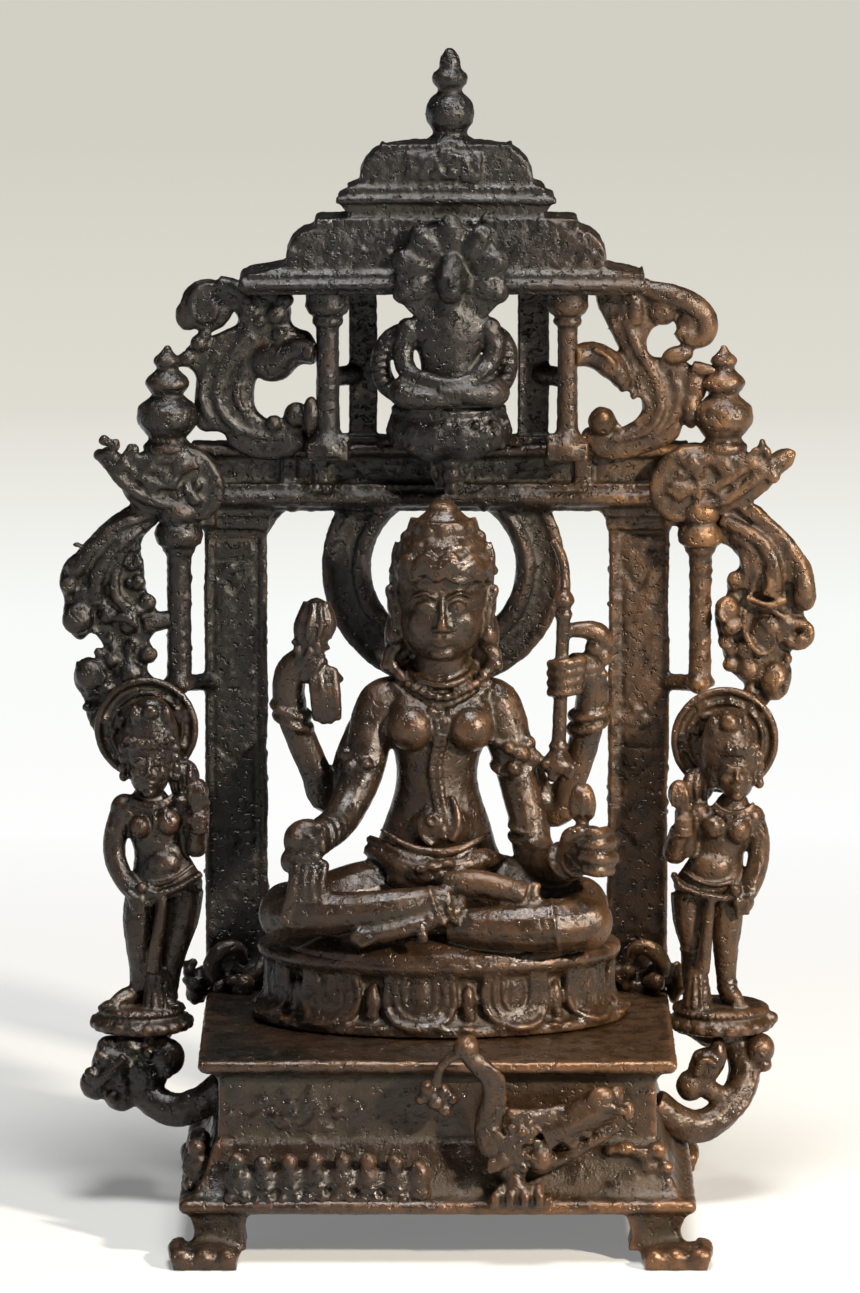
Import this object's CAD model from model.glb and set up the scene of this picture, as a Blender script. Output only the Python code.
import bpy
import math
import random
import numpy as np
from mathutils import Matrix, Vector


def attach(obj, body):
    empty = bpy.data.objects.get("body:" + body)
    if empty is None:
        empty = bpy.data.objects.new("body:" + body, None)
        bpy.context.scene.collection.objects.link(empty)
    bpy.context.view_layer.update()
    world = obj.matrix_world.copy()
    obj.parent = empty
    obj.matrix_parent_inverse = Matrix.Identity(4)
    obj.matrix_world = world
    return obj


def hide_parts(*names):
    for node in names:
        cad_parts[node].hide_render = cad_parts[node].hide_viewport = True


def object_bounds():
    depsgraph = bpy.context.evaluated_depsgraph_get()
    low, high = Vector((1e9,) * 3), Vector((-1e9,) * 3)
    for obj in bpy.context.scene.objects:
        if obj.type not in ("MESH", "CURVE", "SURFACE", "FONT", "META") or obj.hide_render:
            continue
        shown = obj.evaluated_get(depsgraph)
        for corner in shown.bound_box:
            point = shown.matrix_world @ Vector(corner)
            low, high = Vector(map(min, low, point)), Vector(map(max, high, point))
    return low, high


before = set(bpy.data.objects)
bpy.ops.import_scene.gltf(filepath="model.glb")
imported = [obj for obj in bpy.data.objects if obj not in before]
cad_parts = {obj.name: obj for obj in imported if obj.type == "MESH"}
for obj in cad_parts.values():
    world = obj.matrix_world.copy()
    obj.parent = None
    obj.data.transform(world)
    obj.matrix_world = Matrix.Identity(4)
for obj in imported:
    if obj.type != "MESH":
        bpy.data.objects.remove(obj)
cadLow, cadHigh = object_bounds()
mm = 0.001
weld = 0.00002  # points nearer than this are one, in metres
chance = random.Random(11)
bpy.context.scene.view_settings.view_transform = "Standard"


# Picking and keeping

def pick(*objects):
    bpy.ops.object.select_all(action="DESELECT")
    for each in objects:
        each.select_set(True)
    bpy.context.view_layer.objects.active = objects[0]
    return objects[0]


def metres(x, y, z):
    return (x * mm, y * mm, z * mm)


def applyModifier(kind, **settings):
    piece = bpy.context.object
    bpy.ops.object.modifier_add(type=kind)
    modifier = piece.modifiers[-1]
    for key, value in settings.items():
        setattr(modifier, key, value)
    bpy.ops.object.modifier_apply(modifier=modifier.name)


# The wax of one casting: what is put into it waits here until castPiece fuses it
wax = {"balls": [], "rings": [], "blocks": [], "strands": [], "shapes": []}


def ball(x, y, z, size, turn=(0, 0, 0), fine=10):
    wax["balls"].append(((x, y, z), size if isinstance(size, (tuple, list)) else (size,) * 3, turn, fine))


def ring(x, y, z, across, thick, turn=(0, 0, 0)):
    wax["rings"].append(((x, y, z), across, thick, turn))


def block(x0, x1, y0, y1, z0, z1, turn=(0, 0, 0)):
    wax["blocks"].append((((x0 + x1) / 2, (y0 + y1) / 2, (z0 + z1) / 2), (x1 - x0, y1 - y0, z1 - z0), turn))


def strand(points, radii, closed=False):
    radii = list(radii) if isinstance(radii, (tuple, list)) else [radii] * len(points)
    wax["strands"].append((points, radii, closed))
    return radii


# A rope of wax with a round tip at both ends
def roll(points, radii):
    radii = strand(points, radii)
    ball(*points[0], radii[0] * 1.02, fine=8)
    ball(*points[-1], radii[-1] * 1.02, fine=8)


# A fixed measure, or one drawn between the two of a [low, high] pair
def between(value):
    return chance.uniform(*value) if isinstance(value, list) else value


# Lumps scattered over a stretch of skin: each measure is fixed or a [low, high] pair
def lumps(count, x, y, z, size, fine=10):
    for k in range(count):
        place = between(x), between(y), between(z)
        ball(*place, tuple(map(between, size)) if isinstance(size, tuple) else between(size), fine=fine)


# A point round an upright axis: turn from the front in radians, half width, half depth, height
def around(x, y, turn, wide, deep, z):
    return (x + wide * math.sin(turn), y - deep * math.cos(turn), z)


# Points at even steps on a smooth line through the given ones
def pathThrough(points, gap):
    known = [Vector(p) for p in points]
    ends = [known[0] * 2 - known[1]] + known + [known[-1] * 2 - known[-2]]
    dense = []
    for a, b, c, d in zip(ends, ends[1:], ends[2:], ends[3:]):
        for k in range(12):
            t = k / 12
            dense.append(0.5 * (2 * b + (c - a) * t + (2 * a - 5 * b + 4 * c - d) * t ** 2
                                + (3 * b - a - 3 * c + d) * t ** 3))
    dense.append(known[-1])
    out, left = [dense[0]], gap
    for a, b in zip(dense, dense[1:]):
        step, done = (b - a).length, 0.0
        while step - done >= left:
            done += left
            out.append(a.lerp(b, done / step))
            left = gap
        left -= step - done
    return out


def beads(points, radius, gap=None, jitter=0.12):
    for p in pathThrough(points, gap or radius * 1.9):
        size = radius * (1 + chance.uniform(-jitter, jitter))
        ball(p.x, p.y, p.z, size, fine=6)


# A line on the front of an upright oval: [turn from the front in degrees, height, in or out]
def roundTheFront(centre, radii, stops):
    return [around(*centre, math.radians(angle), radii[0] + lift, radii[1] + lift, z) for angle, z,
            lift in stops]


# A curve object as drawn by hand, from lines of (points, radii, closed)
def drawCurve(lines, smooth=True, **settings):
    data = bpy.data.curves.new("line", "CURVE")
    data.dimensions = settings.pop("dimensions", "3D")
    for key, value in settings.items():
        setattr(data, key, value)
    for points, radii, closed in lines:
        spline = data.splines.new("BEZIER" if smooth else "POLY")
        ends = spline.bezier_points if smooth else spline.points
        ends.add(len(points) - 1)
        for end, place, radius in zip(ends, points, radii):
            end.co = metres(*place) if smooth else (*metres(*place), 1)
            end.radius = radius
            if smooth:
                end.handle_left_type = end.handle_right_type = "AUTO"
        spline.use_cyclic_u = closed
        if smooth:
            spline.resolution_u = 5
    drawn = bpy.data.objects.new("line", data)
    bpy.context.collection.objects.link(drawn)
    return pick(drawn)


def toMesh():
    bpy.ops.object.convert(target="MESH")
    return bpy.context.object


# An outline spun round an axis, then flattened from front to back
def spun(points, closed, centre, axis, steps, flat=1.0):
    drawCurve([(points, [1] * len(points), closed)], smooth=False)
    shape = toMesh()
    bpy.ops.object.mode_set(mode="EDIT")
    bpy.ops.mesh.select_all(action="SELECT")
    bpy.ops.mesh.spin(steps=steps, angle=2 * math.pi, center=metres(*centre), axis=axis)
    bpy.ops.mesh.select_all(action="SELECT")
    bpy.ops.mesh.remove_doubles(threshold=weld)
    if flat != 1.0:
        bpy.ops.transform.resize(value=(1, flat, 1), center_override=metres(*centre))
    bpy.ops.object.mode_set(mode="OBJECT")
    wax["shapes"].append(shape)


# A turned piece: profile of [radius, height], spun round an upright axis
def turned(profile, x, y, flat=1.0, steps=32):
    closed = [(0, profile[0][1]), *profile, (0, profile[-1][1])]
    spun([(x + r, y, z) for r, z in closed], False, (x, y, 0), (0, 0, 1), steps, flat)


# A flat plate cut to an outline of [x, z], with rounded edges
def plate(outline, front, back, rounded=0.7):
    shape = drawCurve([([(x, z, 0) for x, z in outline], [1] * len(outline), True)], dimensions="2D",
                      fill_mode="BOTH", extrude=((back - front) / 2 - rounded) * mm,
                      bevel_depth=rounded * mm, bevel_resolution=1, offset=-rounded * mm)
    shape.rotation_euler = (math.pi / 2, 0, 0)
    shape.location = metres(0, (front + back) / 2, 0)
    wax["shapes"].append(toMesh())


# A moulding of one section, [y, z], from side to side
def moulding(section, x0, x1):
    shape = drawCurve([([(y, z, 0) for y, z in section], [1] * len(section), True)], smooth=False,
                      dimensions="2D", fill_mode="BOTH", extrude=(x1 - x0) / 2 * mm)
    shape.rotation_euler = (math.pi / 2, 0, math.pi / 2)
    shape.location = metres((x0 + x1) / 2, 0, 0)
    wax["shapes"].append(toMesh())


# Opens the first outline of a body for editing, at its width and depth
def openShape(halfX, halfY, centre):
    shape = pick(bpy.context.object)
    bpy.ops.object.transform_apply(location=True, rotation=True, scale=True)
    bpy.ops.object.mode_set(mode="EDIT")
    bpy.ops.mesh.select_all(action="SELECT")
    bpy.ops.transform.resize(value=(halfX, halfY, 1), center_override=centre)
    return shape


# Fills the two open ends of a body and puts it with the wax
def closeShape(shape):
    bpy.ops.mesh.select_all(action="DESELECT")
    bpy.ops.mesh.select_non_manifold()
    bpy.ops.mesh.fill_holes(sides=0)
    bpy.ops.object.mode_set(mode="OBJECT")
    wax["shapes"].append(shape)


# A body through oval sections: [z, x, y, half width, half depth], bridged and smoothed
def loft(sections, sides=16):
    shape = None
    for z, x, y, halfX, halfY in sections:
        bpy.ops.mesh.primitive_circle_add(vertices=sides, radius=mm, location=metres(x, y, z))
        if shape:
            bpy.ops.transform.resize(value=(halfX, halfY, 1), center_override=metres(x, y, z))
        else:
            shape = openShape(halfX, halfY, metres(x, y, z))
    bpy.ops.mesh.select_all(action="SELECT")
    bpy.ops.mesh.bridge_edge_loops()
    closeShape(shape)
    applyModifier("SUBSURF", levels=1, render_levels=1)


# Square tiers: [half width, half depth, z], each ring drawn out of the one before
def tiers(steps, x=0.0, y=0.0):
    halfX, halfY, z = steps[0]
    bpy.ops.mesh.primitive_plane_add(size=2 * mm, location=metres(x, y, z))
    shape = openShape(halfX, halfY, metres(x, y, z))
    for (wideX, wideY, low), (nextX, nextY, high) in zip(steps, steps[1:]):
        bpy.ops.mesh.extrude_region_move(TRANSFORM_OT_translate={"value": (0, 0, (high - low) * mm)})
        bpy.ops.transform.resize(value=(nextX / wideX, nextY / wideY, 1), center_override=metres(x, y, high))
    closeShape(shape)


# An object without a mesh yet, open for editing
def emptyShape():
    bpy.ops.mesh.primitive_cube_add(size=mm)
    shape = pick(bpy.context.object)
    bpy.ops.object.mode_set(mode="EDIT")
    bpy.ops.mesh.delete(type="VERT")
    return shape


# Adds primitives in edit mode, a few to each object, so that no step waits for a big mesh
def addShapes(jobs, batch=16):
    made = []
    for start in range(0, len(jobs), batch):
        made.append(emptyShape())
        for kind, place, turn, facts in jobs[start:start + batch]:
            turn = [math.radians(a) for a in turn]
            if kind == "ball":
                size, fine = facts
                bpy.ops.mesh.primitive_uv_sphere_add(segments=fine + 4, ring_count=fine, radius=mm,
                                                     location=metres(*place), rotation=turn, scale=size)
            elif kind == "ring":
                bpy.ops.mesh.primitive_torus_add(major_segments=28, minor_segments=8,
                                                 major_radius=facts[0] * mm, minor_radius=facts[1] * mm,
                                                 location=metres(*place), rotation=turn)
            else:
                bpy.ops.mesh.primitive_cube_add(size=mm, location=metres(*place), rotation=turn, scale=facts)
        bpy.ops.object.mode_set(mode="OBJECT")
    return made


def edgeEnds(mesh):
    ends = np.empty(len(mesh.edges) * 2, np.int32)
    mesh.edges.foreach_get("vertices", ends)
    return ends.reshape(-1, 2).T


# Removes crumbs that hang loose of the casting and bubbles shut inside it
def dropCrumbs(body, smallest=500):
    one, other = edgeEnds(body.data)
    island = np.arange(len(body.data.vertices))
    while np.any(island[one] != island[other]):
        lowest = np.minimum(island[one], island[other])
        np.minimum.at(island, island[one], lowest)
        np.minimum.at(island, island[other], lowest)
        island = island[island]
    crumb = np.bincount(island, minlength=len(island))[island] < smallest
    if crumb.any():
        print(body.name, "crumbs dropped:", len(np.unique(island[crumb])))
        body.data.vertices.foreach_set("select", crumb)
        bpy.ops.object.mode_set(mode="EDIT")
        bpy.ops.mesh.select_mode(type="VERT")
        bpy.ops.mesh.delete(type="VERT")
        bpy.ops.object.mode_set(mode="OBJECT")


# Fuses the waiting wax into one skin, as one pour of metal would be: grain, pitted and pitSize are
# in mm, and keep is the number of triangles it comes down to
def castPiece(name, grain, pitted, keep, pitSize=2.2):
    jobs = [("ball", place, turn, (size, fine)) for place, size, turn, fine in wax["balls"]]
    jobs += [("ring", place, turn, (across, thick)) for place, across, thick, turn in wax["rings"]]
    jobs += [("block", place, turn, size) for place, size, turn in wax["blocks"]]
    shapes = addShapes(jobs) + wax["shapes"]
    if wax["strands"]:
        drawCurve(wax["strands"], bevel_depth=mm, bevel_resolution=4, use_fill_caps=True)
        shapes.append(toMesh())
    body = emptyShape()
    body.name = name
    bpy.ops.object.mode_set(mode="OBJECT")
    pick(body, *shapes)
    bpy.ops.object.join()
    for key in wax:
        wax[key] = []
    applyModifier("REMESH", mode="VOXEL", voxel_size=grain * mm)
    applyModifier("SMOOTH", factor=0.5, iterations=2)
    cloud = bpy.data.textures.get("castSkin") or bpy.data.textures.new("castSkin", "CLOUDS")
    cloud.noise_scale = pitSize * mm
    cloud.noise_depth = 2
    applyModifier("DISPLACE", texture=cloud, texture_coords="GLOBAL", strength=pitted * mm, mid_level=0.62)
    full = sum(len(face.vertices) - 2 for face in body.data.polygons)
    if full > keep:
        applyModifier("DECIMATE", ratio=keep / full)
    dropCrumbs(body)
    print(name, "cast,", full, "triangles, kept", min(full, keep))
    return body


def corners(piece):
    co = np.empty(len(piece.data.vertices) * 3, np.float32)
    piece.data.vertices.foreach_get("co", co)
    return co.reshape(-1, 3)


def setCorners(piece, co):
    piece.data.vertices.foreach_set("co", np.ascontiguousarray(co, np.float32).ravel())
    piece.data.update()


# Presses lines of [x, y, z] into the front of the skin, all in mm
def engrave(piece, lines, width, depth):
    co = corners(piece)
    push = np.zeros(len(co), np.float32)
    for line in lines:
        for a, b in zip(line, line[1:]):
            a, b = np.array(a, np.float32) * mm, np.array(b, np.float32) * mm
            low, high = np.minimum(a, b) - width * mm, np.maximum(a, b) + width * mm
            near = np.flatnonzero(np.all((co > low) & (co < high), axis=1))
            if not len(near):
                continue
            along = np.clip(((co[near] - a) @ (b - a)) / max(float((b - a) @ (b - a)), 1e-12), 0, 1)
            gap = np.linalg.norm(co[near] - a - along[:, None] * (b - a), axis=1) / (width * mm)
            push[near] = np.maximum(push[near], np.clip(1 - gap ** 2, 0, 1) ** 2)
    setCorners(piece, co + push[:, None] * np.array((0, 1, 0), np.float32) * depth * mm)


# How far each point stands out of or lies below the skin around it, at two scales
def markRelief(piece):
    mesh = piece.data
    co = corners(piece)
    count = len(co)
    a, b = edgeEnds(mesh)
    normals = np.empty(count * 3, np.float32)
    mesh.vertex_normals.foreach_get("vector", normals)
    normals = normals.reshape(-1, 3)
    share = 1 / np.maximum(np.bincount(a, minlength=count) + np.bincount(b, minlength=count), 1)
    soft, done = co.astype(np.float64), 0
    for label, rounds in (("reliefMid", 14), ("reliefBroad", 45)):
        while done < rounds:
            soft = np.stack([(np.bincount(a, soft[b, k], count) + np.bincount(b, soft[a, k], count)) * share
                             for k in range(3)], axis=1)
            done += 1
        stands = ((co - soft) * normals).sum(axis=1) / mm
        layer = mesh.attributes.new(label, "FLOAT", "POINT")
        layer.data.foreach_set("value", stands.astype(np.float32))


# Last touches on a finished piece: inside the CAD box, smooth shading, its body, node and slot
def handOver(piece, node, material):
    setCorners(piece, np.clip(corners(piece), np.array(cadLow), np.array(cadHigh)))
    pick(piece)
    bpy.ops.object.mode_set(mode="EDIT")
    bpy.ops.mesh.select_all(action="SELECT")
    bpy.ops.mesh.normals_make_consistent(inside=False)
    bpy.ops.object.mode_set(mode="OBJECT")
    bpy.ops.object.shade_smooth()
    markRelief(piece)
    piece.data.materials.clear()
    piece.data.materials.append(material)
    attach(piece, "root")
    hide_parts(node)


# Materials

def linear(hexColour):
    values = [int(hexColour[i:i + 2], 16) / 255 for i in (1, 3, 5)]
    return (*[v / 12.92 if v <= 0.04045 else ((v + 0.055) / 1.055) ** 2.4 for v in values], 1.0)


# Adds one node with its settings and inputs, a socket being linked and a value set, and gives one output
def addNode(tree, kind, settings=None, inputs=None, output=0):
    node = tree.nodes.new(kind)
    for key, value in (settings or {}).items():
        setattr(node, key, value)
    for key, value in (inputs or {}).items():
        if isinstance(value, bpy.types.NodeSocket):
            tree.links.new(value, node.inputs[key])
        else:
            node.inputs[key].default_value = value
    return node.outputs[output] if node.outputs else node


# Lost-wax bronze under an old brown to black patina. To the eye: nearly black in the hollows, copper
# brown and glossier where hands have rubbed it, and a tan dust left in the deep lines.
def patinatedBronze(name, facts):
    material = bpy.data.materials.new(name)
    material.use_nodes = True
    tree = material.node_tree
    tree.nodes.clear()
    eased = {"interpolation_type": "SMOOTHSTEP"}
    colours, numbers = {"data_type": "RGBA"}, {"data_type": "FLOAT"}
    times, plus = {"operation": "MULTIPLY", "use_clamp": True}, {"operation": "ADD"}
    ramp, maths, mix = "ShaderNodeMapRange", "ShaderNodeMath", "ShaderNodeMix"
    place = addNode(tree, "ShaderNodeTexCoord", output="Object")
    across = addNode(tree, "ShaderNodeSeparateXYZ", {}, {0: place}, "X")
    up = addNode(tree, "ShaderNodeSeparateXYZ", {}, {0: place}, "Z")
    mid = addNode(tree, "ShaderNodeAttribute", {"attribute_name": "reliefMid"}, {}, "Fac")
    broad = addNode(tree, "ShaderNodeAttribute", {"attribute_name": "reliefBroad"}, {}, "Fac")
    # size in mm, detail, roughness: patches of patina, what breaks them up, casting grain, pits, dents
    patch = facts["patch"]
    noises = (patch, 3, 0.55), (patch * 0.27, 4, 0.55), (1.1, 4, 0.7), (1.8, 2, 0.55), (3.4, 2, 0.55)
    noises = [{"Vector": place, "Scale": 1 / (size * mm), "Detail": detail, "Roughness": rough}
              for size, detail, rough in noises]
    cloudy, patchy, grainy, pitted, dented = [addNode(tree, "ShaderNodeTexNoise", {}, inputs, "Fac")
                                              for inputs in noises]
    low, high = [limit * mm for limit in facts["paleFrom"]]
    handled = addNode(tree, ramp, eased, {0: across, 1: low, 2: high})
    browned = addNode(tree, ramp, eased, {0: cloudy, 1: 0.36, 2: 0.66})
    patina = addNode(tree, mix, colours, {0: browned, 6: linear(facts["dark"]), 7: linear(facts["brown"])}, 2)
    broken = addNode(tree, ramp, eased, {0: patchy, 1: 0.3, 2: 0.62, 3: 0.3})
    warmed = addNode(tree, maths, times, {0: handled, 1: broken})
    patina = addNode(tree, mix, colours, {0: warmed, 6: patina, 7: linear(facts["warm"])}, 2)
    reddened = addNode(tree, ramp, eased, {0: patchy, 1: 0.6, 2: 0.74, 4: facts["redShare"]})
    patina = addNode(tree, mix, colours, {0: reddened, 6: patina, 7: linear(facts["red"])}, 2)
    # rubbed: edges, and the domes that stand out at the broad scale, broken up by the patches
    edges = addNode(tree, ramp, eased, {0: mid, 1: 0.04, 2: facts["midWear"]})
    domes = addNode(tree, ramp, eased, {0: broad, 1: 0.3, 2: facts["broadWear"]})
    rubbed = addNode(tree, maths, plus, {0: edges, 1: domes})
    broken = addNode(tree, ramp, eased, {0: patchy, 1: 0.36, 2: 0.62, 3: 0.2})
    byHand = addNode(tree, ramp, eased, {0: handled, 1: 0.0, 2: 1.0, 3: facts["wear"][0],
                                         4: facts["wear"][1]})
    # lamp smoke has dulled the roof
    low, high, most = facts["soot"]
    clean = addNode(tree, ramp, eased, {0: up, 1: low * mm, 2: high * mm, 3: 1.0, 4: 1 - most})
    soot = addNode(tree, ramp, eased, {0: up, 1: low * mm, 2: high * mm, 4: most})
    for share in (broken, byHand, clean):
        rubbed = addNode(tree, maths, times, {0: rubbed, 1: share})
    colour = addNode(tree, mix, colours, {0: rubbed, 6: patina, 7: linear(facts["copper"])}, 2)
    colour = addNode(tree, mix, colours, {0: soot, 6: colour, 7: linear(facts["dark"])}, 2)
    dust = addNode(tree, ramp, eased, {0: mid, 1: -0.05, 2: -0.42})
    broken = addNode(tree, ramp, eased, {0: grainy, 1: 0.35, 2: 0.6, 3: 0.35})
    for share in (broken, facts["dust"]):
        dust = addNode(tree, maths, times, {0: dust, 1: share})
    colour = addNode(tree, mix, colours, {0: dust, 6: colour, 7: linear(facts["dustColour"])}, 2)
    rough = addNode(tree, ramp, eased, {0: patchy, 1: 0.3, 2: 0.7, 3: facts["rough"][0],
                                        4: facts["rough"][1]})
    rough = addNode(tree, mix, numbers, {0: rubbed, 2: rough, 3: facts["rubbedRough"]})
    rough = addNode(tree, mix, numbers, {0: dust, 2: rough, 3: facts["dustRough"]})
    metal = addNode(tree, mix, numbers, {0: rubbed, 2: facts["metal"][0], 3: facts["metal"][1]})
    metal = addNode(tree, mix, numbers, {0: dust, 2: metal, 3: 0.0})
    # the skin: casting grain of about 1 mm, small pits, dents of 3 mm; raised dots catch the light
    pits = addNode(tree, ramp, eased, {0: pitted, 1: 0.3, 2: 0.42})
    pits = addNode(tree, maths, times, {0: pits, 1: facts["pits"]})
    grain = addNode(tree, maths, times, {0: grainy, 1: 0.5})
    height = addNode(tree, maths, plus, {0: grain, 1: pits})
    height = addNode(tree, maths, {"operation": "MULTIPLY_ADD"}, {0: dented, 1: facts["dents"], 2: height})
    bump = addNode(tree, "ShaderNodeBump", {}, {"Height": height, "Strength": facts["bump"],
                                                "Distance": 0.6 * mm})
    shader = addNode(tree, "ShaderNodeBsdfPrincipled", {},
                     {"Base Color": colour, "Roughness": rough, "Metallic": metal,
                      "Specular IOR Level": facts["sheen"], "Normal": bump})
    addNode(tree, "ShaderNodeOutputMaterial", {}, {"Surface": shader})
    return material


# wear goes from the left side to the right one, rough from patch to patch, metal from patina to rubbed
# edges; paleFrom is from x to x, and soot from height to height in mm with its greatest share
wornFacts = {"dark": "#100e0b", "brown": "#251a12", "warm": "#3c2a18", "red": "#4a270f",
             "copper": "#866143", "dustColour": "#39321c", "redShare": 0.4, "wear": (0.14, 0.5),
             "dust": 0.4, "midWear": 1.2, "broadWear": 3.2, "patch": 22, "rough": (0.18, 0.4),
             "rubbedRough": 0.19, "metal": (0.22, 0.85), "pits": 0.6, "dents": 0.7, "bump": 0.65,
             "paleFrom": (-60, 60), "soot": (236, 262, 0.6), "dustRough": 0.9, "sheen": 0.54,}
blackFacts = {"dark": "#0b0a09", "brown": "#17130f", "warm": "#47321f", "red": "#422617",
              "copper": "#8f6a46", "dustColour": "#322f1f", "redShare": 0.35, "wear": (0.06, 0.6),
              "dust": 0.4, "midWear": 1.1, "broadWear": 3, "patch": 20, "rough": (0.25, 0.46),
              "rubbedRough": 0.25, "metal": (0.22, 0.85), "pits": 1.0, "dents": 0.8, "bump": 0.8,
              "paleFrom": (12, 60), "soot": (236, 262, 0.6), "dustRough": 0.9, "sheen": 0.54,}
wornBronze = patinatedBronze("cast bronze, brown patina rubbed to copper", wornFacts)
blackBronze = patinatedBronze("cast bronze, blackened and pitted", blackFacts)

# The goddess's lotus seat

seat = {
    "x": 0.5, "y": 7, "flat": 0.64,
    "profile": [[50.9, 54.2], [51.3, 55.2], [50.6, 56.8], [47.4, 57.8], [44.8, 60], [45, 64], [44.4, 67.6],
                [45.4, 69.6], [48.4, 70.8], [49.7, 72.8], [49, 74.8], [46.6, 75.4]],
    "petals": 11, "firstTurn": -6.5, "petalOut": 45.2, "petalHeight": 64,
}


# A point on the seat's side: turn from the front in degrees, how far out, height
def onSeat(turn, out, z):
    return around(seat["x"], seat["y"], math.radians(turn), out, seat["flat"] * out, z)


def lotusPetal(turn):
    out, mid = seat["petalOut"], seat["petalHeight"]
    step = 360 / seat["petals"]

    def at(side, up, lift):
        return onSeat(turn + side * step, out + lift, mid + up)

    a = math.radians(turn)
    facing = math.degrees(math.atan2(seat["flat"] * math.sin(a), math.cos(a)))
    ball(*at(0, 0.6, 0.8), (3.3, 1.8, 7.2), (0, 0, facing), fine=20)
    edge = [(-0.32, 6.6), (-0.345, 0), (-0.3, -4), (-0.17, -6.5), (0, -7.3), (0.17, -6.5), (0.3, -4),
            (0.345, 0), (0.32, 6.6)]
    for share, lift, thick in ((1, 1.7, 1.15), (0.72, 2, 0.9), (0.46, 2.3, 0.7)):
        nested = [(side * share, 6.6 - (6.6 - up) * (0.5 + 0.5 * share)) for side, up in edge]
        strand([at(side, up, lift + 0.13 * max(0, -up - 1.5) ** 2) for side, up in nested], thick)
    ball(*at(0.5, -1.4, 0.8), (2.1, 2.1, 5.4), (0, 0, facing))
    ball(*at(0.5, -4.4, 1.6), (1.9, 1.7, 1.9))


def makeSeat():
    turned(seat["profile"], seat["x"], seat["y"], seat["flat"], 64)
    for k in range(seat["petals"]):
        lotusPetal(seat["firstTurn"] + k * 360 / seat["petals"])
    for turn in range(0, 360, 9):  # lumps where the flange meets the plate
        size = chance.uniform(0.8, 1.5)
        ball(*onSeat(turn + chance.uniform(-3, 3), 50.2, 56.6), (size * 1.6, size, size * 0.7))
    piece = castPiece("lotusSeat", 0.62, pitted=0.4, keep=80000)
    nicks = []
    for turn in range(-90, 91, 8):
        t = turn + chance.uniform(-3, 3)
        nicks.append([onSeat(t, 50, 71), onSeat(t + 0.6, 50.4, 73), onSeat(t + 1.6, 49.4, 75)])
    engrave(piece, nicks, 0.8, 0.5)
    handOver(piece, "goddess", wornBronze)


makeSeat()
print("seat ready")

# The goddess

goddess = {"torso": [[80, 0, 10, 16, 13], [87, 0, 12, 18.4, 14.6], [92, 0, 12, 19, 14.6],
                     [96, 0, 12, 18.2, 13.8], [100, -0.5, 12, 16.4, 12.4], [106, 0, 12, 14.8, 11.2],
                     [112, 0, 11.6, 12.4, 9.8], [119, -0.2, 11.5, 10.7, 8.8], [125, 0, 11.8, 11.4, 9.2],
                     [131, 0.4, 12.4, 14, 9.6], [137, 0.6, 12.6, 16.4, 9.8], [141, 0.6, 12.6, 16, 9.4],
                     [144.4, 0.8, 12.6, 12.4, 8.4], [147, 1, 12.4, 8.8, 7.6], [150, 1.2, 12, 7.4, 7],
                     [156, 1.2, 11.4, 7.4, 6.8], [160, 1.2, 11, 7.4, 6.8]],
           "breasts": [(-7.1, 4.2, 134, 6.4), (8.9, 4.2, 133.8, 6.4)], "head": (1.2, 9, 167),
           "armLow": {"left": [[-9, 13, 142.8], [-14.6, 12.8, 139.2], [-16.6, 12.2, 135],
                               [-18.4, 9.6, 129.6], [-20.4, 6, 121], [-24, 2, 113.2], [-28, -5, 108.4],
                               [-32.2, -12, 106.4]], "right": [[10.6, 13, 142.8], [15.4, 12.8, 139.2],
                                                               [17.4, 12.2, 135], [19.2, 11, 130],
                                                               [22, 8, 119], [24.8, 5, 108],
                                                               [26.4, 2, 100.2], [31.2, -8, 98.8],
                                                               [37.6, -16.4, 101.6]]},
           "armLowRadii": {"left": [5, 7, 7, 6.2, 5.7, 5.3, 4.9, 4.4],
                           "right": [5, 7, 7, 6.3, 5.5, 5.3, 5.7, 5.6, 4.9]},
           "armHigh": {"left": [[-15, 14, 139], [-22.2, 16, 126], [-27, 15.6, 114.2], [-29.4, 14.8, 112.6],
                                [-33.2, 13.6, 120.4], [-38, 12.4, 132], [-39.8, 12, 137.4]],
                       "right": [[16, 14, 139], [22.2, 16, 125], [29.2, 15, 110.8], [32, 14.4, 109],
                                 [36.2, 13.6, 117.6], [40.2, 12.4, 130], [41.6, 11.8, 137]]},
           "armHighRadii": [6, 5, 4.7, 4.6, 4.3, 4.3, 4.4],
           "shin": [(-40, -10.6, 86), (-34.4, -17, 87), (-24, -20.6, 88), (-12, -21.8, 89.4),
                    (-3, -21.4, 91), (3.4, -20.4, 92)],
           "calf": [(38.4, -17.2, 84.5), (31, -20.8, 84.4), (20, -22, 84.2), (10, -21, 84),
                    (3, -19.4, 83.8)],}


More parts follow.
